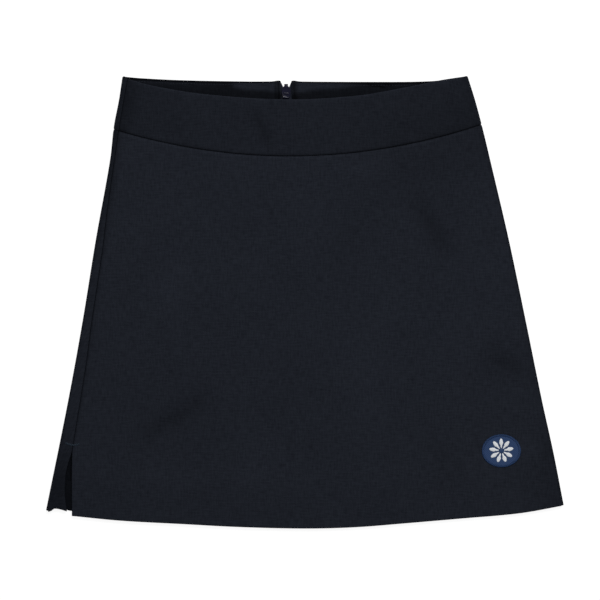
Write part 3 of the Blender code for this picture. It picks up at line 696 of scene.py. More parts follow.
class Run:
    """Columns of a piece that lie on top, lie underneath, or go round the left or right fold."""

    def __init__(self, kind, stations, start=None, end=None):
        self.kind = kind
        self.share, self.shift, self.roll = np.array(stations, float).T
        self.start = start
        self.end = end

    def x(self, y):
        """x of each column at a height y."""
        if self.kind in FOLDS:
            return curve(FOLDS[self.kind], y)
        begin = self.start(y)
        return begin + self.share * (self.end(y) - begin) + self.shift

    def settle(self, share, drop, upper, lower):
        """y of each row at each column.  The edges depend on x and x depends on y, so it is repeated."""
        y = np.zeros((len(share), len(self.share)))
        for _ in range(SETTLE_PASSES):
            x = self.x(y)
            top_y = upper(self.kind, x, y)
            y = top_y + share * (lower(self.kind, x, y) - top_y) - drop
        return y

    def points(self, y, depth, top, radius):
        """Places in space of a face that lies depth below the outer skin."""
        x = self.x(y)
        if self.kind == "top":
            return np.stack([x, y, top(x, y) - depth], -1)
        if self.kind == "under":
            return np.stack([x, y, under_height(x, y) + depth], -1)
        side = 1 if self.kind == "right" else -1
        reach = radius(x, y)
        angle = np.radians(self.share)
        x = x - side * reach + side * (reach - depth) * np.cos(angle)
        return np.stack([x, y, reach + (reach - depth) * np.sin(angle)], -1)


print("stations round a fold:", len(FOLD_ANGLES))

# %% Rows of a piece
def round_fold(towards=1):
    """Stations round a fold, whose share is an angle in degrees."""
    return [(towards * angle, 0.0, 0.0) for angle in FOLD_ANGLES]


def rows_between(count, from_top, from_bottom, outer, inner):
    """Even rows: (share of the piece's length, drop, depth) for its outer face, then for its inner face."""
    rows = []
    for share in np.linspace(0, 1, count):
        drop = from_top * (1 - share) - from_bottom * share
        rows.append((share, drop, outer, drop, inner))
    return rows


def rows_at(share, drops, outer, inner):
    """Rows at given drops below one share of the length."""
    return [(share, drop, outer, drop, inner) for drop in drops]


HEM_STEPS = 10
HEM_OUTER = DOUBLE / 2  # radius of the round fold, outside
HEM_INNER = HEM_OUTER - THICK


def fold_rows(share, way, angles):
    """Rows where the cloth turns back over a small fold.  way is 1 at a lower edge, -1 at an upper one."""
    rows = []
    for angle in angles:
        sine, cosine = math.sin(angle), math.cos(angle)
        rows.append((
            share, way * HEM_OUTER * (sine - 1), HEM_OUTER * (1 - cosine),
            way * (HEM_INNER * sine - HEM_OUTER), HEM_OUTER - HEM_INNER * cosine,
        ))
    return rows


TUCK = 0.9  # the seam allowance reaches this far under the neighbour, so that no seam gapes
TUCK_DEPTH = 0.75
TUCK_THICK = 0.2
SEAM_ROWS = [(0.0, -TUCK, TUCK_DEPTH, -TUCK, TUCK_DEPTH + TUCK_THICK)]
SEAM_ROWS += [(0.0, d, rolled(d), d, THICK) for d in ROLL_STEPS]  # the upper edge rolls into its seam
SEAM_ROWS += rows_at(0.0, (2.0, 2.8, 3.6, 4.4), 0.0, THICK)  # close rows, for the ridge below the seam
print("rows that roll an edge into its seam:", len(SEAM_ROWS))

# %% Two grids joined to one wall
def signed_volume(points, quads):
    """Negative where the faces of a closed mesh point inwards."""
    a, b, c, d = (points[quads[:, k]] for k in range(4))
    return float((np.cross(a, b) * c).sum() + (np.cross(a, c) * d).sum()) / 6


def flat_cloth(outer):
    """Distance across and up the cloth when it is laid out flat, in mm, for each point of the grid."""
    step_x = np.hypot(*np.moveaxis(np.diff(outer[:, :, [0, 2]], axis=1), -1, 0))
    step_y = np.hypot(*np.moveaxis(np.diff(outer[:, :, [1, 2]], axis=0), -1, 0))
    u = outer[:, :1, 0] + np.pad(np.cumsum(step_x, 1), ((0, 0), (1, 0)))
    v = outer[:1, :, 1] - np.pad(np.cumsum(step_y, 0), ((1, 0), (0, 0)))
    return np.stack([u, v], -1)


def make_cloth(name, points, faces, uv, tones):
    """A mesh object from points in mm, with its flat cloth as UV map and its painted light and shade as an
    attribute.
    """
    mesh = bpy.data.meshes.new(name)
    mesh.from_pydata((points * MM).tolist(), [], faces)
    index = np.empty(len(mesh.loops), np.int32)
    mesh.loops.foreach_get("vertex_index", index)
    layer = mesh.uv_layers.new(name="cloth")
    layer.data.foreach_set("uv", (uv[index] * MM).ravel())
    # painted light and shade, one number for each point, which the twill multiplies its colour by
    attribute = mesh.attributes.new("painted_shading", "FLOAT", "POINT")
    attribute.data.foreach_set("value", np.asarray(tones, np.float32))
    mesh.shade_smooth()
    made = bpy.data.objects.new(name, mesh)
    bpy.context.scene.collection.objects.link(made)
    return made


def wall(name, outer, inner, tones):
    """Joins an outer and an inner grid of points into one closed wall."""
    rows, columns = outer.shape[:2]
    count = rows * columns
    index = np.arange(count).reshape(rows, columns)
    corners = (index[:-1, :-1], index[1:, :-1], index[1:, 1:], index[:-1, 1:])
    face = np.stack(corners, -1).reshape(-1, 4)
    border = np.concatenate([index[0, :-1], index[:-1, -1], index[-1, :0:-1], index[:0:-1, 0]])
    following = np.roll(border, -1)
    rim = np.stack([border, following, following + count, border + count], -1)
    quads = np.concatenate([face, face[:, ::-1] + count, rim])
    points = np.concatenate([outer.reshape(-1, 3), inner.reshape(-1, 3)])
    if signed_volume(points, quads) < 0:
        quads = quads[:, ::-1]
    uv = flat_cloth(outer).reshape(-1, 2)
    return make_cloth(name, points, quads.tolist(), np.concatenate([uv, uv]), tones.ravel())


slope = np.array([[[0.0, 0.0, 0.0], [3.0, 0.0, 4.0]], [[0.0, -6.0, 0.0], [3.0, -6.0, 4.0]]])
print("a slope 3 mm wide and 4 mm high is cut", flat_cloth(slope)[0, 1, 0], "mm wide")

# %% A piece of cloth from its runs and rows
def cloth_piece(name, runs, rows, upper, lower, top, radius, lies_on=None, shade=painted_shading):
    """A wall of cloth.  lies_on(x, y) is the room between it and the skirt's outer skin, and shade gives each
    point's painted light and shade.
    """
    share, drop_out, depth_out, drop_in, depth_in = (np.array(rows, float).T)[:, :, None]
    grids, tones = [], []
    for drop, depth, outer in ((drop_out, depth_out, True), (drop_in, depth_in, False)):
        parts, shades = [], []
        for run in runs:
            y = run.settle(share, drop, upper, lower)
            into = depth + np.zeros_like(y)
            if outer:
                into = np.where(depth_out < depth_in, np.maximum(into, run.roll), into)
            if lies_on:
                into = into + lies_on(run.x(y), y)
            parts.append(run.points(y, into, top, radius))
            inside = np.broadcast_to((depth_out >= DOUBLE / 2) | (not outer), y.shape)
            shades.append(shade(run.kind, run.x(y), y, inside, name))
        grids.append(np.concatenate(parts, axis=1))
        tones.append(np.concatenate(shades, axis=1))
    piece = wall(name, *grids, np.stack(tones))
    area = sum(face.area for face in piece.data.polygons) / 2
    print(f"{name}: {2 * len(piece.data.polygons)} triangles, {area:.4f} square metres of cloth")
    return piece


print("room for each layer:", CLOTH, "mm, cloth:", THICK, "mm")

# %% [markdown]
# ## Front and back panels
#
# A maker cuts the front in one piece, and the back in two, with the zip between them.  The front starts at
# the left side seam, lies on top, goes round the right fold and ends at the seam underneath.  The right
# half of the back starts at the zip underneath, goes round the left fold and ends beside the left seam.
# Each hem turns back on the inside over a small round fold.

# %% Side edges of the panels
def left_flap_edge(y):
    """The back's edge beside the left seam, and beside the slit below it."""
    apart = np.where(y < LEFT_SLIT_SPREAD[0][0], held_curve(LEFT_SLIT_SPREAD, y), 0.0)
    return left_seam(y) - SEAM_GAP - np.maximum(apart, 0.0)


def right_seam(y):
    return curve(FOLDS["right"], y) - curve(RIGHT_SEAM_INSET, y)


def right_back_edge(y):
    apart = np.where(y < RIGHT_SLIT_SPREAD[0][0], held_curve(RIGHT_SLIT_SPREAD, y), 0.0)
    return right_seam(y) - SEAM_GAP - np.maximum(apart, 0.0)


def notch_half(y):
    return np.maximum(held_curve(NOTCH, y), SEAM_GAP / 2)


def half_name(side):
    """The back half on one side of the zip: 1 is towards +X, which is the wearer's left."""
    return "left" if side > 0 else "right"


def zip_side_edge(side):
    return lambda y: centre_back(y) + side * notch_half(y)


print("left slit, widest:", round(float(left_seam(-190) - left_flap_edge(-190)), 1), "mm")

# %% Upper and lower edges, and the radius of the folds
CORNER_AWAY = 8.0  # from the centre back to the corner of a back half, which stands up a little
CORNER_WIDTH = 3.5
CORNER_RISE = 0.9


def front_top_edge(kind, x, y):
    return curve(FRONT_TOP, x)


def front_seam_edge(kind, x, y):
    return front_waist_seam(x)


def front_hem_edge(kind, x, y):
    return curve(FRONT_HEM, x)


def back_top_edge(kind, x, y):
    """The back's top edge, whose corners stand up a little beside the zip."""
    if kind == "top":
        return curve(FRONT_TOP, x)
    corner = (np.abs(x - CENTRE_BACK[0][1]) - CORNER_AWAY) / CORNER_WIDTH
    return curve(BACK_TOP, x) + CORNER_RISE * bell(corner, 1.0)


def back_seam_edge(kind, x, y):
    return front_waist_seam(x) if kind == "top" else curve(BACK_WAIST_SEAM, x)


def back_hem_edge(kind, x, y):
    if kind == "under":
        return curve(BACK_HEM, x)
    return held_curve(FLAP_HEM, x - curve(FOLDS["left"], y))


def below(edge):
    """An edge one seam gap lower, for the piece that hangs from it."""
    return lambda kind, x, y: edge(kind, x, y) - SEAM_GAP


def panel_radius(x, y):
    return panel_fold_height(x, y) / 2


def band_radius(x, y):
    return BAND_FOLD_HEIGHT / 2 + 0 * y


def fold_start(side, radius):
    """x where the flat part of a layer meets a fold, as a function of y."""
    fold = FOLDS["right" if side > 0 else "left"]
    return lambda y: curve(fold, y) - side * radius(curve(fold, y), y)


print("radius of the waistband's folds:", float(band_radius(0.0, 0.0)), "mm")

# %% Runs of each piece, and the rows of a hem
HEM_OUTSIDE_ROWS = np.linspace(-27, -2, 9)
HEM_INSIDE_ROWS = np.linspace(-3, -HEM_TURN_UP, 8)
PANEL_FIRST_ROW = 5.4
PANEL_ROW_COUNT = 118


def front_runs(radius, count, under_count):
    """From the left seam over the top, round the right fold, to the seam underneath."""
    return [
        Run("top", across(count, "start"), left_seam, fold_start(1, radius)),
        Run("right", round_fold(-1)),
        Run("under", across(under_count, "end", -1), fold_start(1, radius), right_seam),
    ]


def back_right_runs(radius, count, strip_count, start, edges="start end"):
    """From the zip underneath, round the left fold, to the strip on top."""
    return [
        Run("under", across(count, edges.replace("end", ""), -1), start, fold_start(-1, radius)),
        Run("left", round_fold()),
        Run("top", across(strip_count, edges.replace("start", "")), fold_start(-1, radius), left_flap_edge),
    ]


def back_left_runs(count, start, edges="start end"):
    """From the zip underneath to the right side seam."""
    return [Run("under", across(count, edges), start, right_back_edge)]


def hem_rows():
    """Down to the hem's fold, round it, and back up on the inside."""
    rows = rows_at(1.0, HEM_OUTSIDE_ROWS, 0.0, THICK)
    rows += fold_rows(1.0, 1, np.linspace(0, math.pi, HEM_STEPS + 1))
    return rows + rows_at(1.0, HEM_INSIDE_ROWS, DOUBLE, DOUBLE - THICK)


PANEL_ROWS = SEAM_ROWS + rows_between(PANEL_ROW_COUNT, PANEL_FIRST_ROW, HEM_TURN_UP, 0.0, THICK)
PANEL_ROWS += hem_rows()
print("rows of a panel, waist seam to the hem's raw edge:", len(PANEL_ROWS))

# %% Cut and hem the three panels
front_panel_cloth = cloth_piece(
    "front_panel_cloth", front_runs(panel_radius, count=130, under_count=4), PANEL_ROWS,
    below(front_seam_edge), front_hem_edge, panel_top, panel_radius,
)
back_panel_right_cloth = cloth_piece(
    "back_panel_right_cloth",
    back_right_runs(panel_radius, count=60, strip_count=6, start=zip_side_edge(-1)), PANEL_ROWS,
    below(back_seam_edge), back_hem_edge, panel_top, panel_radius,
)
back_panel_left_cloth = cloth_piece(
    "back_panel_left_cloth", back_left_runs(count=60, start=zip_side_edge(1)), PANEL_ROWS,
    below(back_seam_edge), back_hem_edge, panel_top, panel_radius,
)

# %% [markdown]
# ## The shaped waistband
#
# The waistband has no separate strip of elastic: it is a curved band of the same twill, faced on the
# inside.  In front the cloth rolls over the top edge and comes down as its own facing, so one wall that
# turns round is enough.  At the back the outer cloth only just rolls over, and the facing is a piece of its
# own, which shows above the front's dipped edge.  Its ends are turned under beside the zip, so they
# stand up as two small beads.

# %% Rows of the waistband
CAP_DROP = 1.2  # the back's rolled top edge ends this far down on the inside
FRONT_FACING_TOP = 3.0  # the front's own facing starts this far below its rolled edge


def top_roll(inner_end):
    """Up the inside from inner_end below the top edge, and over the edge to the outside."""
    rows = rows_at(0.0, inner_end, DOUBLE, DOUBLE - THICK)
    return rows + fold_rows(0.0, -1, np.linspace(math.pi, 0, HEM_STEPS + 1))


def outside_rows(count):
    """Down the outside of a waistband to its seam, where the lower edge rolls in."""
    rows = rows_between(count, 2.0, ROLL_WIDTH, 0.0, THICK)
    return rows + [(1.0, -d, rolled(d), -d, THICK) for d in ROLL_STEPS[::-1]]


FRONT_BAND_ROWS = rows_between(16, FRONT_FACING_TOP, ROLL_WIDTH, DOUBLE, DOUBLE - THICK)[::-1]
FRONT_BAND_ROWS += top_roll([]) + outside_rows(20)
BACK_BAND_ROWS = top_roll([CAP_DROP]) + outside_rows(20)
print("rows of the waistband, front and back:", len(FRONT_BAND_ROWS), len(BACK_BAND_ROWS))

# %% How the facing lies
FACING_DROP = 1.4  # it starts this far below the top edge
FACING_EDGE = 5.6  # distance from the centre back to the facing's edge
FACING_OVER_TAPE = 15.0
FACING_DOWN = 24.0
BEAD_AWAY = 7.0  # from the centre back to the bead that its turned-under end makes
BEAD_HALF = 1.5
BEAD_HEIGHT = 0.7
FACING_FROM_NOTCH = 1.0
ON_BAND = CLOTH + SEAM_GAP  # room between the outer skin and what lies on the waistband's inside
UNDERSTITCH_DROP = 3.4
STITCH_DENT = 0.18  # the stitches draw the facing in by this
STITCH_DENT_HALF = 0.8
STITCH_START = 2.0  # and start this far beyond the bead
FACING_CREASES = (  # x0, y0, x1, y1, half width, height: small slanting folds that the stitching draws up
    (60.0, 218.2, 74.0, 215.2, 1.2, -0.6),
    (69.0, 217.8, 83.0, 213.8, 1.2, -0.6),
    (77.0, 218.0, 90.0, 216.5, 1.2, -0.6),
    (-118.0, 218.6, -108.0, 216.2, 0.9, -0.3),
)


def facing_lies_on(x, y):
    """The facing lies on the waistband, and near the zip on its tape, where its edge is turned under."""
    away = np.abs(x - centre_back(y))
    on_tape = 1 - ease((away - FACING_OVER_TAPE) / (FACING_DOWN - FACING_OVER_TAPE))
    bead = BEAD_HEIGHT * bell(away - BEAD_AWAY, BEAD_HALF)
    stitched = STITCH_DENT * bell(curve(BACK_TOP, x) - y - UNDERSTITCH_DROP, STITCH_DENT_HALF)
    stitched = stitched * (away > BEAD_AWAY + STITCH_START)
    return ON_BAND * (1 + on_tape) + bead - stitched + creases(FACING_CREASES, x, y)


def facing_edge(side):
    """The turned-under end of the facing beside the zip, on one side of it."""
    return lambda y: centre_back(y) + side * np.maximum(FACING_EDGE, notch_half(y) + FACING_FROM_NOTCH)


FACING_ROWS = [  # its top edge is thinner, and the rows are close where the stitches draw it in
    *rows_at(0.0, [FACING_DROP], 0.0, 0.4),
    *rows_at(0.0, [FACING_DROP + 0.3], 0.0, 0.6),
    *rows_at(0.0, (FACING_DROP + 0.8, 2.9, 3.2, 3.5, 3.8, 4.2, 4.7, 5.2, 5.8, 6.4, 7.1), 0.0, THICK),
    *rows_between(20, 8.0, 0.0, 0.0, THICK),
]
print("rows of the facing:", len(FACING_ROWS))

# %% Painted light and shade of the facing
FACING_PAINTED_SHADE = 0.33  # painted shade deep in the mouth
FACING_PAINTED_LIGHT = 0.94  # painted light where it stands up beside the zip
FACING_LIGHT_ENDS = {"right": (51.0, 57.0), "left": (52.0, 88.0)}  # where its painted light fades, from the zip
FACING_LIGHT_DROP = 12.3  # and how far down it reaches beside the zip
FACING_LIGHT_SLOPE = 0.12  # it reaches less far down by this much for each mm from the zip
FACING_LIGHT_FADE = 4.5
FACING_LOW_WAVE = (0.8, 0.13)  # the light's lower edge waves: height in mm, radians for each mm across
FACING_END_WAVE = (2.0, 0.7)  # and so do its ends, for each mm down
FACING_RIM_LIGHT = 0.35  # a weak painted light under the top edge all along
FACING_RIM_DROP = 6.0
FACING_RIM_WAVE = (0.4, 23.0, 1.0)  # it comes and goes by this share, over this length, from this phase
FACING_LINE_SHADE = 0.6  # painted shade in the line between the rolled edge and the facing
FACING_LINE_HALF = 0.9
FACING_LINE_RUN = 20.0
FACING_CREASE_SHADE = 1.3
FACING_FOLDS = (  # distance from the centre back, half width, how much darker: painted shade beside the turned-under ends
    (7.3, 0.9, 0.75),
    (10.2, 1.2, 0.65),
)


def facing_shade(kind, x, y, inside, piece):
    """The facing has painted light where it stands up beside the zip and painted shade deeper in the mouth.
    """
    if kind != "under":
        return FACING_PAINTED_SHADE + 0 * x
    from_zip = np.abs(x - centre_back(y))
    full, gone = FACING_LIGHT_ENDS["right" if "right" in piece else "left"]
    from_top = curve(BACK_TOP, x) - y
    drop = from_top + FACING_LOW_WAVE[0] * np.sin(x * FACING_LOW_WAVE[1])
    reach = FACING_LIGHT_DROP - FACING_LIGHT_SLOPE * from_zip
    end = from_zip + FACING_END_WAVE[0] * np.sin(y * FACING_END_WAVE[1]) - full
    lit = (1 - ease(end / (gone - full))) * (1 - ease((drop - reach) / FACING_LIGHT_FADE + 0.5))
    share, length, phase = FACING_RIM_WAVE
    rim_light = FACING_RIM_LIGHT * bell(drop, FACING_RIM_DROP)
    rim_light = rim_light * (1 - share + share * np.sin(x / length + phase))
    folds = sum(dark * bell(from_zip - middle, half) for middle, half, dark in FACING_FOLDS)
    line = FACING_LINE_SHADE * bell(from_top - FACING_DROP, FACING_LINE_HALF)
    line = line * ease((from_zip - full) / FACING_LINE_RUN)
    shade = FACING_PAINTED_SHADE + (FACING_PAINTED_LIGHT - FACING_PAINTED_SHADE) * np.maximum(lit, rim_light)
    return shade * (1 - folds) * (1 - line) * (1 + FACING_CREASE_SHADE * creases(FACING_CREASES, x, y))


print("tone of the facing, from deep in the mouth to beside the zip:", FACING_PAINTED_SHADE, "to", FACING_PAINTED_LIGHT)

# %% Make the waistband and the facings
waistband_front_cloth = cloth_piece(
    "waistband_front_cloth", front_runs(band_radius, count=120, under_count=1), FRONT_BAND_ROWS,
    front_top_edge, front_seam_edge, band_top, band_radius,
)


def back_band(side, count):
    """The waistband of one back half and its facing."""
    word = half_name(side)
    starts = (zip_side_edge(side), facing_edge(side))
    if side > 0:
        runs = [back_left_runs(count, starts[0]), back_left_runs(count, starts[1], "")]
    else:
        runs = [back_right_runs(band_radius, count, 1, starts[0]),
                back_right_runs(band_radius, count, 1, starts[1], "")]
    outer = cloth_piece(
        f"waistband_back_{word}_cloth", runs[0], BACK_BAND_ROWS,
        back_top_edge, back_seam_edge, band_top, band_radius,
    )
    facing = cloth_piece(
        f"facing_back_{word}_cloth", runs[1], FACING_ROWS,
        back_top_edge, back_seam_edge, band_top, band_radius, facing_lies_on, facing_shade,
    )
    return outer, facing


waistband_back_right_cloth, facing_back_right_cloth = back_band(-1, 90)
waistband_back_left_cloth, facing_back_left_cloth = back_band(1, 90)

# %% [markdown]
# ## Zip tapes
#
# A zip's tape is a narrow polyester ribbon, woven with fine ribs across it.  It is cloth too, so the same
# maker of walls is used, with rows close enough for the bend over the pull tab.

# %% Weave the two tapes
TAPE_WIDTH = 13.0
TAPE_DROP = 1.9  # from the back's top edge down to the tapes' ends
TAPE_THICK = 0.55
TAPE_ROWS = 70
TAPE_COLUMNS = 8
tape_top_y = float(curve(BACK_TOP, CENTRE_BACK[0][1])) - TAPE_DROP


def tape(side):
    """The tape on one side of the zip, from its top end down to the closed end."""
    word = half_name(side)
    run = Run(
        "under", across(TAPE_COLUMNS, "", side),
        lambda y: centre_back(y) + side * np.maximum(notch_half(y), SEAM_GAP),
        lambda y: centre_back(y) + side * TAPE_WIDTH,
    )
    return cloth_piece(
        f"zip_tape_{word}_cloth", [run], rows_between(TAPE_ROWS, 0.0, 0.0, 0.0, TAPE_THICK),
        lambda kind, x, y: tape_top_y + 0 * y, lambda kind, x, y: ZIP_END_Y + 0 * y,
        panel_top, panel_radius, lambda x, y: ON_BAND + 0 * y,
    )


zip_tape_right_cloth = tape(-1)
zip_tape_left_cloth = tape(1)

# %% [markdown]
# ## Modelling by hand: small helpers
#
# The hard parts are modelled the way a person would do it in Blender's window: add a primitive, go into
# edit mode, select by place, and cut, resize, inset or bevel.  Without a window an operator acts on whatever
# is selected, so everything is deselected first, and each step picks its points by where they are.

# %% Start, pick and finish a piece
MERGE_DISTANCE = 0.004  # points that lie closer than this become one


def deselect_all():
    """Leaves edit mode and selects nothing."""
    if bpy.context.object and bpy.context.object.mode != "OBJECT":
        bpy.ops.object.mode_set(mode="OBJECT")
    bpy.ops.object.select_all(action="DESELECT")


def start_piece(name, add, **settings):
    """Adds a primitive in mm, scaled and placed, with its place in its mesh."""
    deselect_all()
    scale = settings.pop("scale", (1, 1, 1))
    location = settings.pop("location", (0, 0, 0))
    add(**settings)
    piece = bpy.context.object
    piece.name = piece.data.name = name
    piece.scale = [s * MM for s in scale]
    piece.location = [c * MM for c in location]
    bpy.ops.object.transform_apply(location=True, rotation=True, scale=True)
    return piece


def pick(piece, test):
    """In edit mode, selects the vertices for which test(x, y, z) in mm is true, and what joins them."""
    bpy.ops.object.mode_set(mode="EDIT")
    bpy.ops.mesh.select_mode(type="VERT")
    bpy.ops.mesh.select_all(action="DESELECT")
    bpy.ops.object.mode_set(mode="OBJECT")
    for vertex in piece.data.vertices:
        vertex.select = bool(test(*(c / MM for c in vertex.co)))
    bpy.ops.object.mode_set(mode="EDIT")
    bpy.ops.mesh.select_mode(type="VERT")


def finish_piece(piece):
    """Merges doubles, turns all faces outwards, leaves edit mode and smooths all but the sharp edges."""
    bpy.ops.object.mode_set(mode="EDIT")
    bpy.ops.mesh.select_all(action="SELECT")
    bpy.ops.mesh.remove_doubles(threshold=MERGE_DISTANCE * MM)
    bpy.ops.mesh.normals_make_consistent(inside=False)
    bpy.ops.object.mode_set(mode="OBJECT")
    bpy.ops.object.shade_smooth_by_angle(angle=math.radians(40))
    return piece


print("helpers ready; mode:", bpy.context.mode)

# %% Slice, bevel, join and copy
HINGE_Y = 217.0  # the bar that the pull tab hangs on
HINGE_Z = 1.35
slider_x = float(centre_back(HINGE_Y))  # the slider and its tab lie about this line


def shape_slices(piece, count, ends, wider):
    """Cuts a block across Y into slices, and makes it wider(y) times as wide at each cut and end."""
    at = [ends[0] + (ends[1] - ends[0]) * k / count for k in range(count + 1)]
    bpy.ops.object.mode_set(mode="EDIT")
    for cut_y in at[1:-1]:
        bpy.ops.mesh.select_all(action="SELECT")
        bpy.ops.mesh.bisect(plane_co=(0, cut_y * MM, 0), plane_no=(0, 1, 0))
    for slice_y in at:
        pick(piece, lambda x, y, z: abs(y - slice_y) < 0.05)
        centre = (slider_x * MM, slice_y * MM, 0)
        bpy.ops.transform.resize(value=(float(wider(slice_y)), 1, 1), center_override=centre)
    bpy.ops.object.mode_set(mode="OBJECT")


def bevel_edges(piece, width, segments, angle):
    """Rounds the edges that are sharper than an angle in degrees."""
    deselect_all()
    piece.select_set(True)
    bpy.context.view_layer.objects.active = piece
    bevel = piece.modifiers.new("edge", "BEVEL")
    bevel.width = width * MM
    bevel.segments = segments
    bevel.limit_method = "ANGLE"
    bevel.angle_limit = math.radians(angle)
    bpy.ops.object.modifier_apply(modifier=bevel.name)


def join_pieces(target, *others):
    """Joins pieces into the first of them."""
    deselect_all()
    for piece in (target, *others):
        piece.select_set(True)
    bpy.context.view_layer.objects.active = target
    bpy.ops.object.join()
    return target


def copies(name, model, places, turns):
    """One mesh with a copy of the model at each place in mm, turned about Z and then tilted to the cloth.

    Each turn is (angle about Z, angle about X) in radians.
    """
    model_points = np.array([v.co for v in model.data.vertices]) / MM
    model_faces = [np.array(face.vertices) for face in model.data.polygons]
    points, faces = [], []
    for i, (place, (turn, tilt)) in enumerate(zip(places, turns)):
        c, s = math.cos(tilt), math.sin(tilt)
        tilted = model_points @ np.array([[1, 0, 0], [0, c, s], [0, -s, c]])
        c, s = math.cos(turn), math.sin(turn)
        points.append(tilted @ np.array([[c, s, 0], [-s, c, 0], [0, 0, 1]]) + place)
        faces += [face + i * len(model_points) for face in model_faces]
    mesh = bpy.data.meshes.new(name)
    mesh.from_pydata((np.concatenate(points) * MM).tolist(), [], [face.tolist() for face in faces])
    mesh.shade_smooth()
    made = bpy.data.objects.new(name, mesh)
    bpy.context.scene.collection.objects.link(made)
    return made


print("middle of the slider:", round(slider_x, 2), "mm")

# %% [markdown]
# ## The nylon coils
#
# A coil zip has no teeth: each tape carries a spiral of thick nylon thread, and the slider presses the two
# spirals into each other.  One loop is a torus, squeezed to the coil's section and leaned over a
# little, because a spiral climbs as it turns.  It is copied along each tape, half a pitch apart on the two
# sides, so the loops interlock.

# %% Wind the coils
COIL_PITCH = 1.4
COIL_TOP_Y = 202.4
COIL_BOTTOM_Y = ZIP_END_Y + 4.0
COIL_THICK = 1.4
COIL_MIDDLE = 1.05  # distance from the centre back to the middle of a loop
COIL_LEAN = 0.12  # radians
LOOP_SHAPE = (0.92, 0.52, 0.9)  # a loop is squeezed to the coil's section by these

loop = start_piece(
    "loop", bpy.ops.mesh.primitive_torus_add, major_segments=10, minor_segments=5,
    major_radius=1.0, minor_radius=0.33, rotation=(math.pi / 2, 0, 0), scale=LOOP_SHAPE,
)
finish_piece(loop)


def under_slope(x, y):
    """How steeply the layer underneath climbs towards +Y."""
    return float(under_height(x, y + 1.0) - under_height(x, y - 1.0)) / 2


def coil(side):
    """Copies the loop along one tape, half a pitch further up on the left."""
    word = half_name(side)
    start_y = COIL_BOTTOM_Y + (COIL_PITCH / 2 if side > 0 else 0.0)
    ys = np.arange(start_y, COIL_TOP_Y, COIL_PITCH)
    xs = centre_back(ys) + side * COIL_MIDDLE
    zs = under_height(xs, ys) + 2 * ON_BAND + COIL_THICK / 2
    tilts = [(side * COIL_LEAN, math.atan(under_slope(x, y))) for x, y in zip(xs, ys)]
    made = copies(f"zip_coil_{word}_loops", loop, np.stack([xs, ys, zs], -1), tilts)
    print(made.name, len(ys), "loops")
    return made


zip_coil_right_loops = coil(-1)
zip_coil_left_loops = coil(1)
bpy.data.objects.remove(loop)

# %% [markdown]
# ## The slider
#
# The slider is a small zinc casting with baked navy enamel.  From inside the skirt one sees its flat back
# plate: a pointed crown at the top, shoulders where the two coils come in, and a narrower tail, with two
# low cast ribs across it that catch the light.  It starts as a cube, which is cut into slices, and each
# slice is resized to the width of the casting there.  Two lugs and a bar on the other side hold the tab.

# %% Model the slider body
SLIDER_CLEAR = 0.15  # room between the tapes and the slider
SLIDER_LOW = PULL_LIFT + 2 * ON_BAND - SEAM_GAP + SLIDER_CLEAR
SLIDER_THICK = 2.6
SLIDER_HALF = 4.4  # half the width of the cube that it starts from
SLIDER_SLICES = 13
SLIDER_OUTLINE = (  # y, half width
    (216.9, 0.9),
    (215.6, 2.5),
    (213.6, 3.8),
    (211.4, 4.4),
    (208.6, 4.2),
    (206.0, 3.4),
    (203.9, 2.9),
)
tail_y, crown_y = SLIDER_OUTLINE[-1][0], SLIDER_OUTLINE[0][0]

slider = start_piece(
    "zip_slider_body", bpy.ops.mesh.primitive_cube_add, size=1.0,
    scale=(2 * SLIDER_HALF, crown_y - tail_y, SLIDER_THICK),
    location=(slider_x, (crown_y + tail_y) / 2, SLIDER_LOW + SLIDER_THICK / 2),
)
shape_slices(slider, SLIDER_SLICES, (tail_y, crown_y), lambda y: curve(SLIDER_OUTLINE, y) / SLIDER_HALF)
print("slider slices:", SLIDER_SLICES)

# %% Flanges and ribs of the slider
FLANGE_WIDTH = 0.75  # the plate is let in by this much from its rim
FLANGE_DEPTH = 0.35
pick(slider, lambda x, y, z: z > SLIDER_LOW + SLIDER_THICK / 2 and tail_y + 0.5 < y < crown_y - 1.5)
bpy.ops.mesh.select_mode(type="FACE")
bpy.ops.mesh.inset(thickness=FLANGE_WIDTH * MM, depth=-FLANGE_DEPTH * MM)
RIB_HALF = 1.1
RIB_SUNK = 0.3
RIBS = (  # y, half width, height: each is a ball whose two halves are drawn apart to a short bar
    (204.5, 0.85, 0.6),
    (208.7, 1.0, 0.7),
)
RIB_STRETCH = 1.7
ribs = []
for i, (rib_y, rib_half, rib_high) in enumerate(RIBS):
    rib = start_piece(
        f"rib_{i}", bpy.ops.mesh.primitive_uv_sphere_add, segments=20, ring_count=12,
        radius=1.0, scale=(RIB_HALF, rib_half, rib_high),
        location=(slider_x, rib_y, SLIDER_LOW + SLIDER_THICK - RIB_SUNK),
    )
    for side in (-1, 1):
        pick(rib, lambda x, y, z: side * (x - slider_x) > 0.05)
        bpy.ops.transform.translate(value=(side * RIB_STRETCH * MM, 0, 0))
    ribs.append(finish_piece(rib))
bevel_edges(slider, width=0.45, segments=3, angle=35)
finish_piece(slider)
print("ribs across the plate:", len(ribs))

# %% Lugs and hinge bar of the slider
def block(name, low, high):
    """A cube between two corners in mm, with softened edges."""
    size = [h - l for l, h in zip(low, high)]
    middle = [(h + l) / 2 for l, h in zip(low, high)]
    piece = start_piece(name, bpy.ops.mesh.primitive_cube_add, size=1.0, scale=size, location=middle)
    bpy.ops.object.mode_set(mode="EDIT")
    bpy.ops.mesh.select_all(action="SELECT")
    bpy.ops.mesh.bevel(offset=0.15 * MM, segments=2, affect="EDGES")
    return finish_piece(piece)


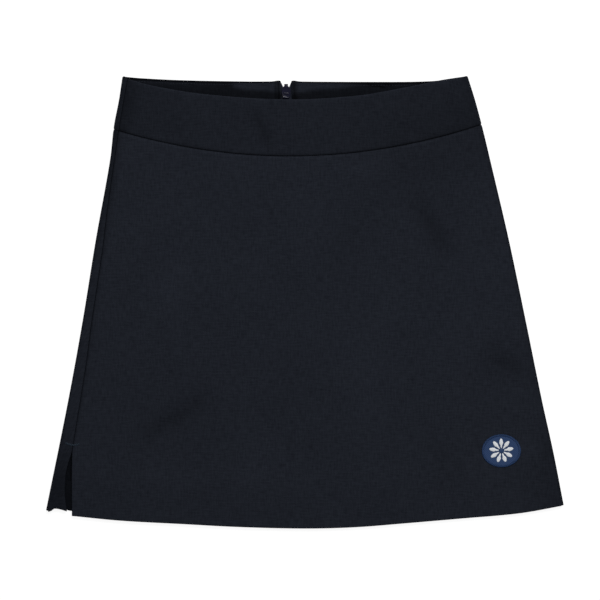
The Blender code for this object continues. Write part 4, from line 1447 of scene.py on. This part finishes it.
def bar_along_x(name, middle, radius, width):
    """A round bar, stood up by the primitive and turned to lie along X."""
    piece = start_piece(
        name, bpy.ops.mesh.primitive_cylinder_add, vertices=24, radius=1.0, depth=1.0,
        scale=(radius, radius, width),
    )
    bpy.ops.object.mode_set(mode="EDIT")
    bpy.ops.mesh.select_all(action="SELECT")
    bpy.ops.transform.rotate(value=math.pi / 2, orient_axis="Y", center_override=(0, 0, 0))
    bpy.ops.transform.translate(value=[c * MM for c in middle])
    return finish_piece(piece)


LUG_INNER, LUG_OUTER = 1.25, 1.85  # distance from the middle to the two sides of a lug
LUG_HALF = 1.3
LUG_FOOT = 0.65
LUG_TOP = SLIDER_LOW + 1.0
ROOF_LOW = SLIDER_LOW + 0.4


def lug(name, from_x, to_x, low):
    """A block round the hinge line, between two distances from the slider's middle."""
    low_corner = (slider_x + from_x, HINGE_Y - LUG_HALF, low)
    return block(name, low_corner, (slider_x + to_x, HINGE_Y + LUG_HALF, LUG_TOP))


lugs = [
    lug("lug_left", LUG_INNER, LUG_OUTER, LUG_FOOT),
    lug("lug_right", -LUG_OUTER, -LUG_INNER, LUG_FOOT),
    lug("lug_roof", -LUG_OUTER, LUG_OUTER, ROOF_LOW),
]
hinge_bar = bar_along_x("hinge_bar", (slider_x, HINGE_Y, HINGE_Z), radius=0.42, width=3.0)
zip_slider_body = join_pieces(slider, *ribs, *lugs, hinge_bar)
print("slider:", len(zip_slider_body.data.polygons), "faces")

# %% [markdown]
# ## The pull tab
#
# The tab hangs on the slider's bar, on the outside of the skirt, so it lies under the back here.  It is
# stamped from sheet zinc: a round eye, a narrow neck and a drop-shaped end.  It is a torus for the eye and
# a cube whose slices are resized, joined to one piece.

# %% Model the pull tab
TAB_LOW = 0.25
TAB_THICK = 0.8
TAB_START = 0.9  # y below the hinge
TAB_SLICES = 20
TAB_OUTLINE = (  # y below the hinge, half width
    (1.2, 0.95),
    (3.0, 1.0),
    (8.0, 1.35),
    (14.0, 2.1),
    (18.0, 2.5),
    (20.0, 2.1),
    (21.0, 1.0),
)
tab_top_y, tab_end_y = HINGE_Y - TAB_START, HINGE_Y - TAB_OUTLINE[-1][0]
zip_pull_tab = start_piece(
    "zip_pull_tab", bpy.ops.mesh.primitive_cube_add, size=1.0,
    scale=(2.0, tab_top_y - tab_end_y, TAB_THICK),
    location=(slider_x, (tab_top_y + tab_end_y) / 2, TAB_LOW + TAB_THICK / 2),
)
shape_slices(zip_pull_tab, TAB_SLICES, (tab_end_y, tab_top_y), lambda y: curve(TAB_OUTLINE, HINGE_Y - y))
bevel_edges(zip_pull_tab, width=0.18, segments=2, angle=40)
finish_piece(zip_pull_tab)
eye = start_piece(
    "eye", bpy.ops.mesh.primitive_torus_add, major_segments=28, minor_segments=12,
    major_radius=0.83, minor_radius=0.25, rotation=(0, math.pi / 2, 0), scale=(1, 1, 3.6),
    location=(slider_x, HINGE_Y, HINGE_Z),
)
finish_piece(eye)
join_pieces(zip_pull_tab, eye)
print("pull tab:", len(zip_pull_tab.data.polygons), "faces")

# %% [markdown]
# ## Thread: understitching and bar tacks
#
# A machine stitch is a short piece of thread that dips into the cloth at both ends.  One capsule of thread
# is modelled and copied along each seam.  A bar tack, which stops a slit from tearing, is a tight zigzag,
# so a smaller capsule is laid side by side across a short line.

# %% Model one stitch and sew the facing
STITCH_PITCH = 2.9
STITCH_LIFT = 0.02


def strand(name, size):
    """A short capsule of thread, of a given size in mm."""
    return finish_piece(start_piece(
        name, bpy.ops.mesh.primitive_uv_sphere_add, segments=8, ring_count=6, radius=0.5, scale=size,
    ))


def understitch(side, x_from, x_to):
    """A row of stitches along the facing's top, one each pitch, turned the way the row runs."""
    xs = np.linspace(x_from, x_to, 160)
    ys = curve(BACK_TOP, xs) - UNDERSTITCH_DROP
    path = np.stack([xs, ys, under_height(xs, ys) + facing_lies_on(xs, ys) + THICK], -1)
    run = np.concatenate([[0], np.cumsum(np.linalg.norm(np.diff(path, axis=0), axis=1))])
    at = np.arange(STITCH_PITCH / 2, run[-1], STITCH_PITCH)
    behind, places, ahead = (
        np.stack([np.interp(at + shift, run, path[:, k]) for k in range(3)], -1) for shift in (-0.5, 0.0, 0.5)
    )
    heading = np.arctan2(ahead[:, 1] - behind[:, 1], ahead[:, 0] - behind[:, 0])
    places[:, 2] += STITCH_LIFT
    name = f"understitch_{half_name(side)}"
    print(name, len(at), "stitches")
    return copies(name, stitch, places, [(angle, 0.0) for angle in heading])


stitch = strand("stitch", (2.5, 0.42, 0.36))
understitch_right = understitch(-1, x_from=-28.5, x_to=-172.0)
understitch_left = understitch(1, x_from=-9.0, x_to=153.0)

# %% Bar tacks at the two slits
TACK_PITCH = 0.42
TACK_WOBBLE = (0.12, 7.3)  # unevenness of the strands: height in mm, radians for each mm along
TACK_LEAN = 0.1  # neighbours lean to and fro by this many radians
tack_strand = strand("tack_strand", (0.62, 2.3, 0.5))


def bar_tack(name, middle, length, slope, sag, height):
    """Strands of thread side by side along a short sloping line that sags a little."""
    along = np.arange(-length / 2, length / 2, TACK_PITCH)
    wobble = TACK_WOBBLE[0] * np.sin(along * TACK_WOBBLE[1]) + sag * (2 * (2 * along / length) ** 2 - 1)
    xs = middle[0] + along
    ys = middle[1] + along * slope + wobble
    zs = height(xs, ys)
    turns = [(math.atan(slope) + TACK_LEAN * (-1) ** i, 0.0) for i in range(len(along))]
    return copies(name, tack_strand, np.stack([xs, ys, zs], -1), turns)


bar_tack_left = bar_tack(
    "bar_tack_left", (-232.6, -141.9), length=14.0, slope=-0.09, sag=0.75,
    height=lambda x, y: panel_top(x, y) + 0.15,
)
bar_tack_right = bar_tack(
    "bar_tack_right", (float(right_seam(-150.0)), -150.0), length=9.0, slope=0.0, sag=0.0,
    height=lambda x, y: under_height(x, y) + 0.25,
)
print("strands a tack:", len(bar_tack_left.data.vertices) // len(tack_strand.data.vertices), "and",
      len(bar_tack_right.data.vertices) // len(tack_strand.data.vertices))
for model in (stitch, tack_strand):
    bpy.data.objects.remove(model)

# %% [markdown]
# ## The embroidered patch
#
# Such skirts often carry a small embroidered patch near the hem.  This one is a plain design of its own: a
# white daisy on an oval blue ground.  The ground is a thin padded sheet that follows the cloth.  Its border
# is a tight overlocked edge, so one strand of thread is copied round it, and each petal is a low pad of
# satin stitch, a flattened ball that is drawn in at one end.

# %% Cut the ground of the patch
PATCH_MIDDLE = (196.5, -148.5)
PATCH_HALF = (19.0, 16.0)
PATCH_THICK = 0.7
PATCH_CLEAR = 0.02
PATCH_CROWN = 0.25  # it is thinner at its rim by this share


def disc_grid(rings, spokes):
    """Polar grid of the oval: x, y and the share of its radius, from its middle out."""
    angles = np.linspace(0, 2 * math.pi, spokes, endpoint=False)
    radius, angle = np.meshgrid(np.linspace(0.02, 1, rings), angles, indexing="ij")
    x = PATCH_MIDDLE[0] + PATCH_HALF[0] * radius * np.cos(angle)
    y = PATCH_MIDDLE[1] + PATCH_HALF[1] * radius * np.sin(angle)
    return x, y, radius


def closed_disc(name, x, y, low, high):
    """A solid oval between two height grids over the same polar grid."""
    rings, spokes = x.shape
    count = rings * spokes
    index = np.arange(count).reshape(rings, spokes)
    turned = np.roll(index, -1, axis=1)
    face = np.stack([index[:-1], index[1:], turned[1:], turned[:-1]], -1).reshape(-1, 4)
    rim = np.stack([index[-1], index[-1] + count, turned[-1] + count, turned[-1]], -1)
    quads = np.concatenate([face, face[:, ::-1] + count, rim]).tolist()
    quads += [index[0][::-1].tolist(), (index[0] + count).tolist()]
    points = np.concatenate([np.stack([x, y, z], -1).reshape(-1, 3) for z in (high, low)])
    uv = np.stack([x, y], -1).reshape(-1, 2)
    return make_cloth(name, points, quads, np.concatenate([uv, uv]), np.ones(len(points)))


patch_x, patch_y, patch_radius = disc_grid(16, 96)
patch_low = panel_top(patch_x, patch_y) + PATCH_CLEAR
patch_high = patch_low + PATCH_THICK * (1 - PATCH_CROWN * patch_radius**4)
patch_ground = closed_disc("patch_ground", patch_x, patch_y, patch_low, patch_high)
print("patch ground:", len(patch_ground.data.polygons), "faces")

# %% Overlocked border of the patch
BORDER_STRANDS = 240
BORDER_IN = 0.6  # from the ground's rim to the middle of a strand
BORDER_LIFT = 0.55
border_strand = strand("border_strand", (0.55, 2.6, 1.0))
angles = np.linspace(0, 2 * math.pi, BORDER_STRANDS, endpoint=False)
border_x = PATCH_MIDDLE[0] + (PATCH_HALF[0] - BORDER_IN) * np.cos(angles)
border_y = PATCH_MIDDLE[1] + (PATCH_HALF[1] - BORDER_IN) * np.sin(angles)
border_z = panel_top(border_x, border_y) + BORDER_LIFT
outward = np.arctan2(np.sin(angles) * PATCH_HALF[0], np.cos(angles) * PATCH_HALF[1])
patch_border = copies(
    "patch_border", border_strand, np.stack([border_x, border_y, border_z], -1),
    [(angle - math.pi / 2, 0.0) for angle in outward],
)
print("border strands:", BORDER_STRANDS)

# %% Petals and eye of the daisy
PETALS = 9
PETAL_AWAY = 7.4  # from the middle of the patch to the middle of a petal
PETAL_TURN = 0.2  # radians
petal = start_piece(
    "petal", bpy.ops.mesh.primitive_uv_sphere_add, segments=18, ring_count=14, radius=0.5,
    scale=(9.8, 3.9, 0.9),
)
pick(petal, lambda x, y, z: x < -1.0)
bpy.ops.transform.resize(value=(1, 0.55, 1), center_override=(0, 0, 0))
finish_piece(petal)
turns = PETAL_TURN + 2 * math.pi * np.arange(PETALS) / PETALS
petal_x = PATCH_MIDDLE[0] + PETAL_AWAY * np.cos(turns)
petal_y = PATCH_MIDDLE[1] + PETAL_AWAY * np.sin(turns)
petal_z = panel_top(petal_x, petal_y) + PATCH_THICK + 0.05
patch_petals = copies(
    "patch_petals", petal, np.stack([petal_x, petal_y, petal_z], -1), [(angle, 0.0) for angle in turns],
)
patch_eye = start_piece(
    "patch_eye", bpy.ops.mesh.primitive_uv_sphere_add, segments=24, ring_count=14, radius=0.5,
    scale=(5.4, 5.4, 1.7),
    location=(*PATCH_MIDDLE, float(panel_top(*PATCH_MIDDLE)) + PATCH_THICK + 0.1),
)
finish_piece(patch_eye)
deselect_all()
for model in (border_strand, petal):
    bpy.data.objects.remove(model)
print("patch pieces:", [o.name for o in (patch_ground, patch_border, patch_petals, patch_eye)])

# %% [markdown]
# ## Colours and a helper for materials
#
# Colours are picked as sRGB hex values, as in a paint program, but light is added up in linear values, so
# one function turns the one into the other.  A second small function adds a node to a material, with its
# settings and its links, and every material below is built with it.

# %% Colour and node helpers
def linear(hex_colour):
    """An sRGB hex value as linear red, green, blue and 1."""
    values = [int(hex_colour[i:i + 2], 16) / 255 for i in (1, 3, 5)]
    return (*(v / 12.92 if v <= 0.04045 else ((v + 0.055) / 1.055) ** 2.4 for v in values), 1.0)


def add_node(tree, kind, settings=None, **links):
    """Adds a node.  settings are its properties; each link is a value or the socket that feeds it."""
    node = tree.nodes.new(kind)
    for name, value in (settings or {}).items():
        setattr(node, name, value)
    for name, value in links.items():
        key = int(name[1:]) if name[0] == "_" else name.replace("_", " ")
        if isinstance(value, bpy.types.NodeSocket):
            tree.links.new(value, node.inputs[key])
        else:
            node.inputs[key].default_value = value
    return node


def new_material(name):
    """An empty material with its shader, and the tree to build in."""
    material = bpy.data.materials.new(name)
    material.use_nodes = True
    tree = material.node_tree
    tree.nodes.clear()
    shader = add_node(tree, "ShaderNodeBsdfPrincipled")
    output = add_node(tree, "ShaderNodeOutputMaterial")
    tree.links.new(shader.outputs["BSDF"], output.inputs["Surface"])
    return material, tree, shader


def set_shader(shader, **values):
    """Sets the shader's own sockets."""
    for name, value in values.items():
        shader.inputs[name.replace("_", " ")].default_value = value


def coordinates_in_mm(tree, source):
    """The piece's UV map or its Object coordinates, from metres to mm."""
    place = add_node(tree, "ShaderNodeTexCoord").outputs[source]
    return add_node(tree, "ShaderNodeVectorMath", {"operation": "SCALE"}, _0=place, Scale=1 / MM).outputs[0]


def put_on(material, *pieces):
    """Gives each piece this material alone."""
    for piece in pieces:
        piece.data.materials.clear()
        piece.data.materials.append(material)


print("navy in linear light:", [round(v, 4) for v in linear("#1c1f25")[:3]])

# %% [markdown]
# ## Navy twill
#
# School skirts are made of a polyester and viscose twill: fine diagonal ribs, a matt face, and a slightly
# mottled colour, because the two fibres take the dye differently.  The real ribs are 0.5 mm apart, finer
# than one picture element, so they are drawn 1.7 mm apart and very faint.  The mottling is
# drawn as short streaks along both sets of threads, which is what the eye catches at this distance.

# %% Make the twill
RIB_SPACING = 1.7
RIB_WAVES = 1.6  # waves in one unit of length, in a diagonal wave texture of scale 1
RIB_SHARE = 0.25  # how much of the colour mix the ribs make
STREAK_WIDTH = 1.5
STREAK_SHARE = 0.16  # the width of a streak as a share of its length
STREAK_CONTRAST = 1.4
CLOUD_WIDTH = 55.0  # broad uneven dyeing
CLOUD_SHARE = 0.3
NAVY_DARK, NAVY_LIGHT = "#101218", "#1e2128"


def twill(name, rib_depth):
    """A mottled matt twill in two close colours, multiplied by the cloth's painted light and shade."""
    material, tree, shader = new_material(name)
    in_mm = coordinates_in_mm(tree, "UV")
    streaks = []
    for squeeze in ((STREAK_SHARE, 1.0, 1.0), (1.0, STREAK_SHARE, 1.0)):
        along = add_node(
            tree, "ShaderNodeVectorMath", {"operation": "MULTIPLY"}, _0=in_mm, _1=squeeze
        ).outputs[0]
        streaks.append(add_node(
            tree, "ShaderNodeTexNoise", Vector=along, Scale=1 / STREAK_WIDTH, Detail=3.0, Roughness=0.65
        ).outputs["Fac"])
    fine = add_node(tree, "ShaderNodeMath", {"operation": "ADD"}, _0=streaks[0], _1=streaks[1]).outputs[0]
    cloud = add_node(
        tree, "ShaderNodeTexNoise", Vector=in_mm, Scale=1 / CLOUD_WIDTH, Detail=2.0
    ).outputs["Fac"]
    ribs = add_node(
        tree, "ShaderNodeTexWave", {"bands_direction": "DIAGONAL"}, Vector=in_mm,
        Scale=1 / (RIB_SPACING * RIB_WAVES), Distortion=1.2, Detail=2.0, Detail_Scale=0.8,
    ).outputs["Fac"]
    mixed = add_node(
        tree, "ShaderNodeMath", {"operation": "MULTIPLY_ADD"}, _0=fine, _1=STREAK_CONTRAST, _2=-1.0
    ).outputs[0]
    ribbed = add_node(
        tree, "ShaderNodeMath", {"operation": "MULTIPLY_ADD"}, _0=ribs, _1=RIB_SHARE, _2=mixed
    ).outputs[0]
    factor = add_node(
        tree, "ShaderNodeMath", {"operation": "MULTIPLY_ADD", "use_clamp": True},
        _0=cloud, _1=CLOUD_SHARE, _2=ribbed,
    ).outputs[0]
    dyed = add_node(
        tree, "ShaderNodeMix", {"data_type": "RGBA"},
        Factor=factor, _6=linear(NAVY_DARK), _7=linear(NAVY_LIGHT),
    ).outputs[2]
    # the painted light and shade stored on each point scales the dyed colour
    tones = add_node(tree, "ShaderNodeAttribute", {"attribute_name": "painted_shading"}).outputs["Fac"]
    colour = add_node(
        tree, "ShaderNodeVectorMath", {"operation": "SCALE"}, _0=dyed, Scale=tones
    ).outputs[0]
    relief = add_node(tree, "ShaderNodeMath", {"operation": "ADD"}, _0=fine, _1=ribs).outputs[0]
    bump = add_node(
        tree, "ShaderNodeBump", Height=relief, Strength=rib_depth, Distance=0.00012
    ).outputs["Normal"]
    tree.links.new(colour, shader.inputs["Base Color"])
    tree.links.new(bump, shader.inputs["Normal"])
    set_shader(shader, Roughness=0.85, IOR=1.46, Specular_IOR_Level=0.03)
    return material


navy_twill = twill("navy_polyester_viscose_twill", rib_depth=0.5)
facing_twill = twill("navy_facing_twill", rib_depth=0.4)
cloth_pieces = (
    front_panel_cloth, back_panel_left_cloth, back_panel_right_cloth,
    waistband_front_cloth, waistband_back_left_cloth, waistband_back_right_cloth,
)
put_on(navy_twill, *cloth_pieces)
put_on(facing_twill, facing_back_left_cloth, facing_back_right_cloth)
print("nodes of the twill:", len(navy_twill.node_tree.nodes))

# %% [markdown]
# ## Tape, nylon, enamel and thread
#
# Zip tape is woven polyester with fine ribs across it.  The coil is dyed nylon, smooth and a little shiny.
# The slider is zinc with a baked navy enamel, glossy with a slight orange-peel ripple, so its rounded ribs
# show small bright spots.  Sewing thread is twisted, which shows as slanting light and dark.

# %% Recipes for the trims
TAPE_RIB_SCALE = 0.26  # ribs 1.2 mm apart across the tape: twice the real size, so that they show


def two_tones(material, tree, shader, pattern, dark, light, height, strength, **look):
    """Ends a recipe: a pattern blends two colours, and a pattern of height gives a fine relief."""
    colour = add_node(
        tree, "ShaderNodeMix", {"data_type": "RGBA"}, Factor=pattern, _6=linear(dark), _7=linear(light)
    ).outputs[2]
    bump = add_node(
        tree, "ShaderNodeBump", Height=height, Strength=strength, Distance=0.0001
    ).outputs["Normal"]
    tree.links.new(colour, shader.inputs["Base Color"])
    tree.links.new(bump, shader.inputs["Normal"])
    set_shader(shader, **look)
    return material


def tape_weave(name, dark, light):
    """Woven tape: ribs with uneven fibres between them."""
    material, tree, shader = new_material(name)
    in_mm = coordinates_in_mm(tree, "UV")
    ribs = add_node(
        tree, "ShaderNodeTexWave", {"bands_direction": "Y"},
        Vector=in_mm, Scale=TAPE_RIB_SCALE, Distortion=0.6,
    ).outputs["Fac"]
    fibres = add_node(tree, "ShaderNodeTexNoise", Vector=in_mm, Scale=1.2, Detail=3.0).outputs["Fac"]
    blend = add_node(tree, "ShaderNodeMath", {"operation": "MULTIPLY"}, _0=ribs, _1=fibres).outputs[0]
    return two_tones(
        material, tree, shader, blend, dark, light, height=ribs, strength=0.6,
        Roughness=0.8, Specular_IOR_Level=0.1,
    )


def smooth_finish(name, dark, light, grain, ripple, **look):
    """A moulded or enamelled surface: two close tones and a fine ripple, in Object coordinates."""
    material, tree, shader = new_material(name)
    in_mm = coordinates_in_mm(tree, "Object")
    noise = add_node(tree, "ShaderNodeTexNoise", Vector=in_mm, Scale=1 / grain, Detail=2.0).outputs["Fac"]
    return two_tones(material, tree, shader, noise, dark, light, height=noise, strength=ripple, **look)


def thread(name, dark, light, twist, roughness):
    """Spun thread: slanting light and dark, twist mm apart."""
    material, tree, shader = new_material(name)
    in_mm = coordinates_in_mm(tree, "Object")
    bands = add_node(
        tree, "ShaderNodeTexWave", {"bands_direction": "DIAGONAL"},
        Vector=in_mm, Scale=0.32 / twist, Distortion=2.0, Detail=1.0,
    ).outputs["Fac"]
    return two_tones(
        material, tree, shader, bands, dark, light, height=bands, strength=0.5,
        Roughness=roughness, Specular_IOR_Level=0.15,
    )


print("recipes:", [recipe.__name__ for recipe in (tape_weave, smooth_finish, thread)])

# %% Make the trims' materials
zip_tape_weave = tape_weave("woven_polyester_zip_tape", "#10131b", "#1d212c")
coil_nylon = smooth_finish(
    "dyed_nylon_coil", "#151a2e", "#1f2540", grain=0.8, ripple=0.2, Roughness=0.4, Specular_IOR_Level=0.3,
)
slider_enamel = smooth_finish(
    "baked_navy_enamel_on_zinc", "#07071a", "#0a0b20", grain=1.5, ripple=0.25,
    Roughness=0.18, Specular_IOR_Level=0.2,
)
navy_thread = thread("navy_sewing_thread", "#0f1219", "#1c212c", twist=0.9, roughness=0.6)
tack_thread = thread("grey_blue_bar_tack_thread", "#10161d", "#1b2733", twist=1.1, roughness=0.55)
blue_floss = thread("blue_embroidery_thread", "#1a2e4d", "#24385b", twist=1.0, roughness=0.5)
white_floss = thread("white_embroidery_thread", "#b9bcbf", "#d2d4d6", twist=1.0, roughness=0.5)
put_on(zip_tape_weave, zip_tape_left_cloth, zip_tape_right_cloth)
put_on(coil_nylon, zip_coil_left_loops, zip_coil_right_loops)
put_on(slider_enamel, zip_slider_body, zip_pull_tab)
put_on(navy_thread, understitch_left, understitch_right)
put_on(tack_thread, bar_tack_left, bar_tack_right)
put_on(blue_floss, patch_ground, patch_border, patch_eye)
put_on(white_floss, patch_petals)
print("materials:", sorted(m.name for m in bpy.data.materials if m.users))

# %% [markdown]
# ## What each piece stands for
#
# Every new piece rides on a body of the imported model and hides the plain solid that it stands for.  The
# table also gives the slot of the finish that each piece takes.

# %% Bind the pieces to their bodies
STANDS_FOR = (  # piece, node or nothing, slot, body
    (front_panel_cloth, "front_panel", "cloth", "skirt"),
    (back_panel_left_cloth, "back_panel_left", "cloth", "skirt"),
    (back_panel_right_cloth, "back_panel_right", "cloth", "skirt"),
    (waistband_front_cloth, "waistband_front", "cloth", "skirt"),
    (waistband_back_left_cloth, "waistband_back_left", "cloth", "skirt"),
    (waistband_back_right_cloth, "waistband_back_right", "cloth", "skirt"),
    (facing_back_left_cloth, "facing_back_left", "facing", "skirt"),
    (facing_back_right_cloth, "facing_back_right", "facing", "skirt"),
    (zip_tape_left_cloth, "zip_tape_left", "zip_tape", "skirt"),
    (zip_tape_right_cloth, "zip_tape_right", "zip_tape", "skirt"),
    (zip_coil_left_loops, "zip_coil_left", "zip_coil", "skirt"),
    (zip_coil_right_loops, "zip_coil_right", "zip_coil", "skirt"),
    (zip_slider_body, "zip_slider", "zip_enamel", "skirt"),
    (zip_pull_tab, "zip_pull", "zip_enamel", "pull"),
    (understitch_left, None, None, "skirt"),
    (understitch_right, None, None, "skirt"),
    (bar_tack_left, None, None, "skirt"),
    (bar_tack_right, None, None, "skirt"),
    (patch_ground, None, None, "skirt"),
    (patch_border, None, None, "skirt"),
    (patch_petals, None, None, "skirt"),
    (patch_eye, None, None, "skirt"),
)
for piece, node, finish, body in STANDS_FOR:
    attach(piece, body)
    if node:
        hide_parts(node)

# %% [markdown]
# ## Floor, light and camera
#
# The skirt was photographed from straight above on white, with no shadow at all.  Such pictures are
# taken on opal acrylic, which is lit from below, so the floor glows.  A wide soft light leans in from the
# waist's side and a little from the right, so each seam has a shaded and a lit edge, which painted shade and
# painted highlights in the cloth make stronger.  The camera hangs 2.5 m above, where a long lens keeps the
# skirt free of perspective.

# %% Floor
FLOOR_HALF = 6000.0
FLOOR_LEVEL = -0.05
floor = start_piece(
    "floor", bpy.ops.mesh.primitive_plane_add, size=2.0, scale=(FLOOR_HALF, FLOOR_HALF, 1),
    location=(0, 0, FLOOR_LEVEL),
)
opal_acrylic = smooth_finish(
    "opal_acrylic_lit_from_below", "#757575", "#797979", grain=40.0, ripple=0.0,
    Roughness=0.6, Specular_IOR_Level=0.1, Emission_Color=(1, 1, 1, 1), Emission_Strength=0.88,
)
put_on(opal_acrylic, floor)
print("floor:", round(2 * FLOOR_HALF * MM), "m wide")

# %% Light
SURROUND = 0.45  # brightness of the white room
KEY_PLACE = (0.5, 1.5, 1.9)  # metres
KEY_SIZE = (1.6, 1.0)
KEY_WATTS = 53.0
world = bpy.data.worlds.new("studio")
bpy.context.scene.world = world
world.use_nodes = True
background = world.node_tree.nodes["Background"]
background.inputs["Color"].default_value = (1.0, 1.0, 1.0, 1.0)
background.inputs["Strength"].default_value = SURROUND

key = bpy.data.lights.new("key", "AREA")
key.shape = "RECTANGLE"
key.size, key.size_y = KEY_SIZE
key.energy = KEY_WATTS
key_light = bpy.data.objects.new("key_light", key)
key_light.location = KEY_PLACE
key_light.rotation_euler = (-Vector(KEY_PLACE)).to_track_quat("-Z", "Y").to_euler()
bpy.context.scene.collection.objects.link(key_light)
print("key light:", round(Vector(KEY_PLACE).length, 1), "m away")

# %% Camera
CAMERA_HEIGHT = 2.5
CAMERA_OVER = (-0.0049, 0.0023)  # the picture's middle, in metres
SKIN_HEIGHT = 0.004  # where the picture is PICTURE_WIDTH wide
PICTURE_WIDTH = 0.6
SENSOR = 36.0
camera = bpy.data.cameras.new("overhead")
camera.sensor_width = SENSOR
camera.lens = SENSOR * (CAMERA_HEIGHT - SKIN_HEIGHT) / PICTURE_WIDTH
overhead = bpy.data.objects.new("overhead", camera)
overhead.location = (*CAMERA_OVER, CAMERA_HEIGHT)
bpy.context.scene.collection.objects.link(overhead)
bpy.context.scene.camera = overhead
bpy.context.scene.view_settings.view_transform = "Standard"
print("lens:", round(camera.lens, 1), "mm")
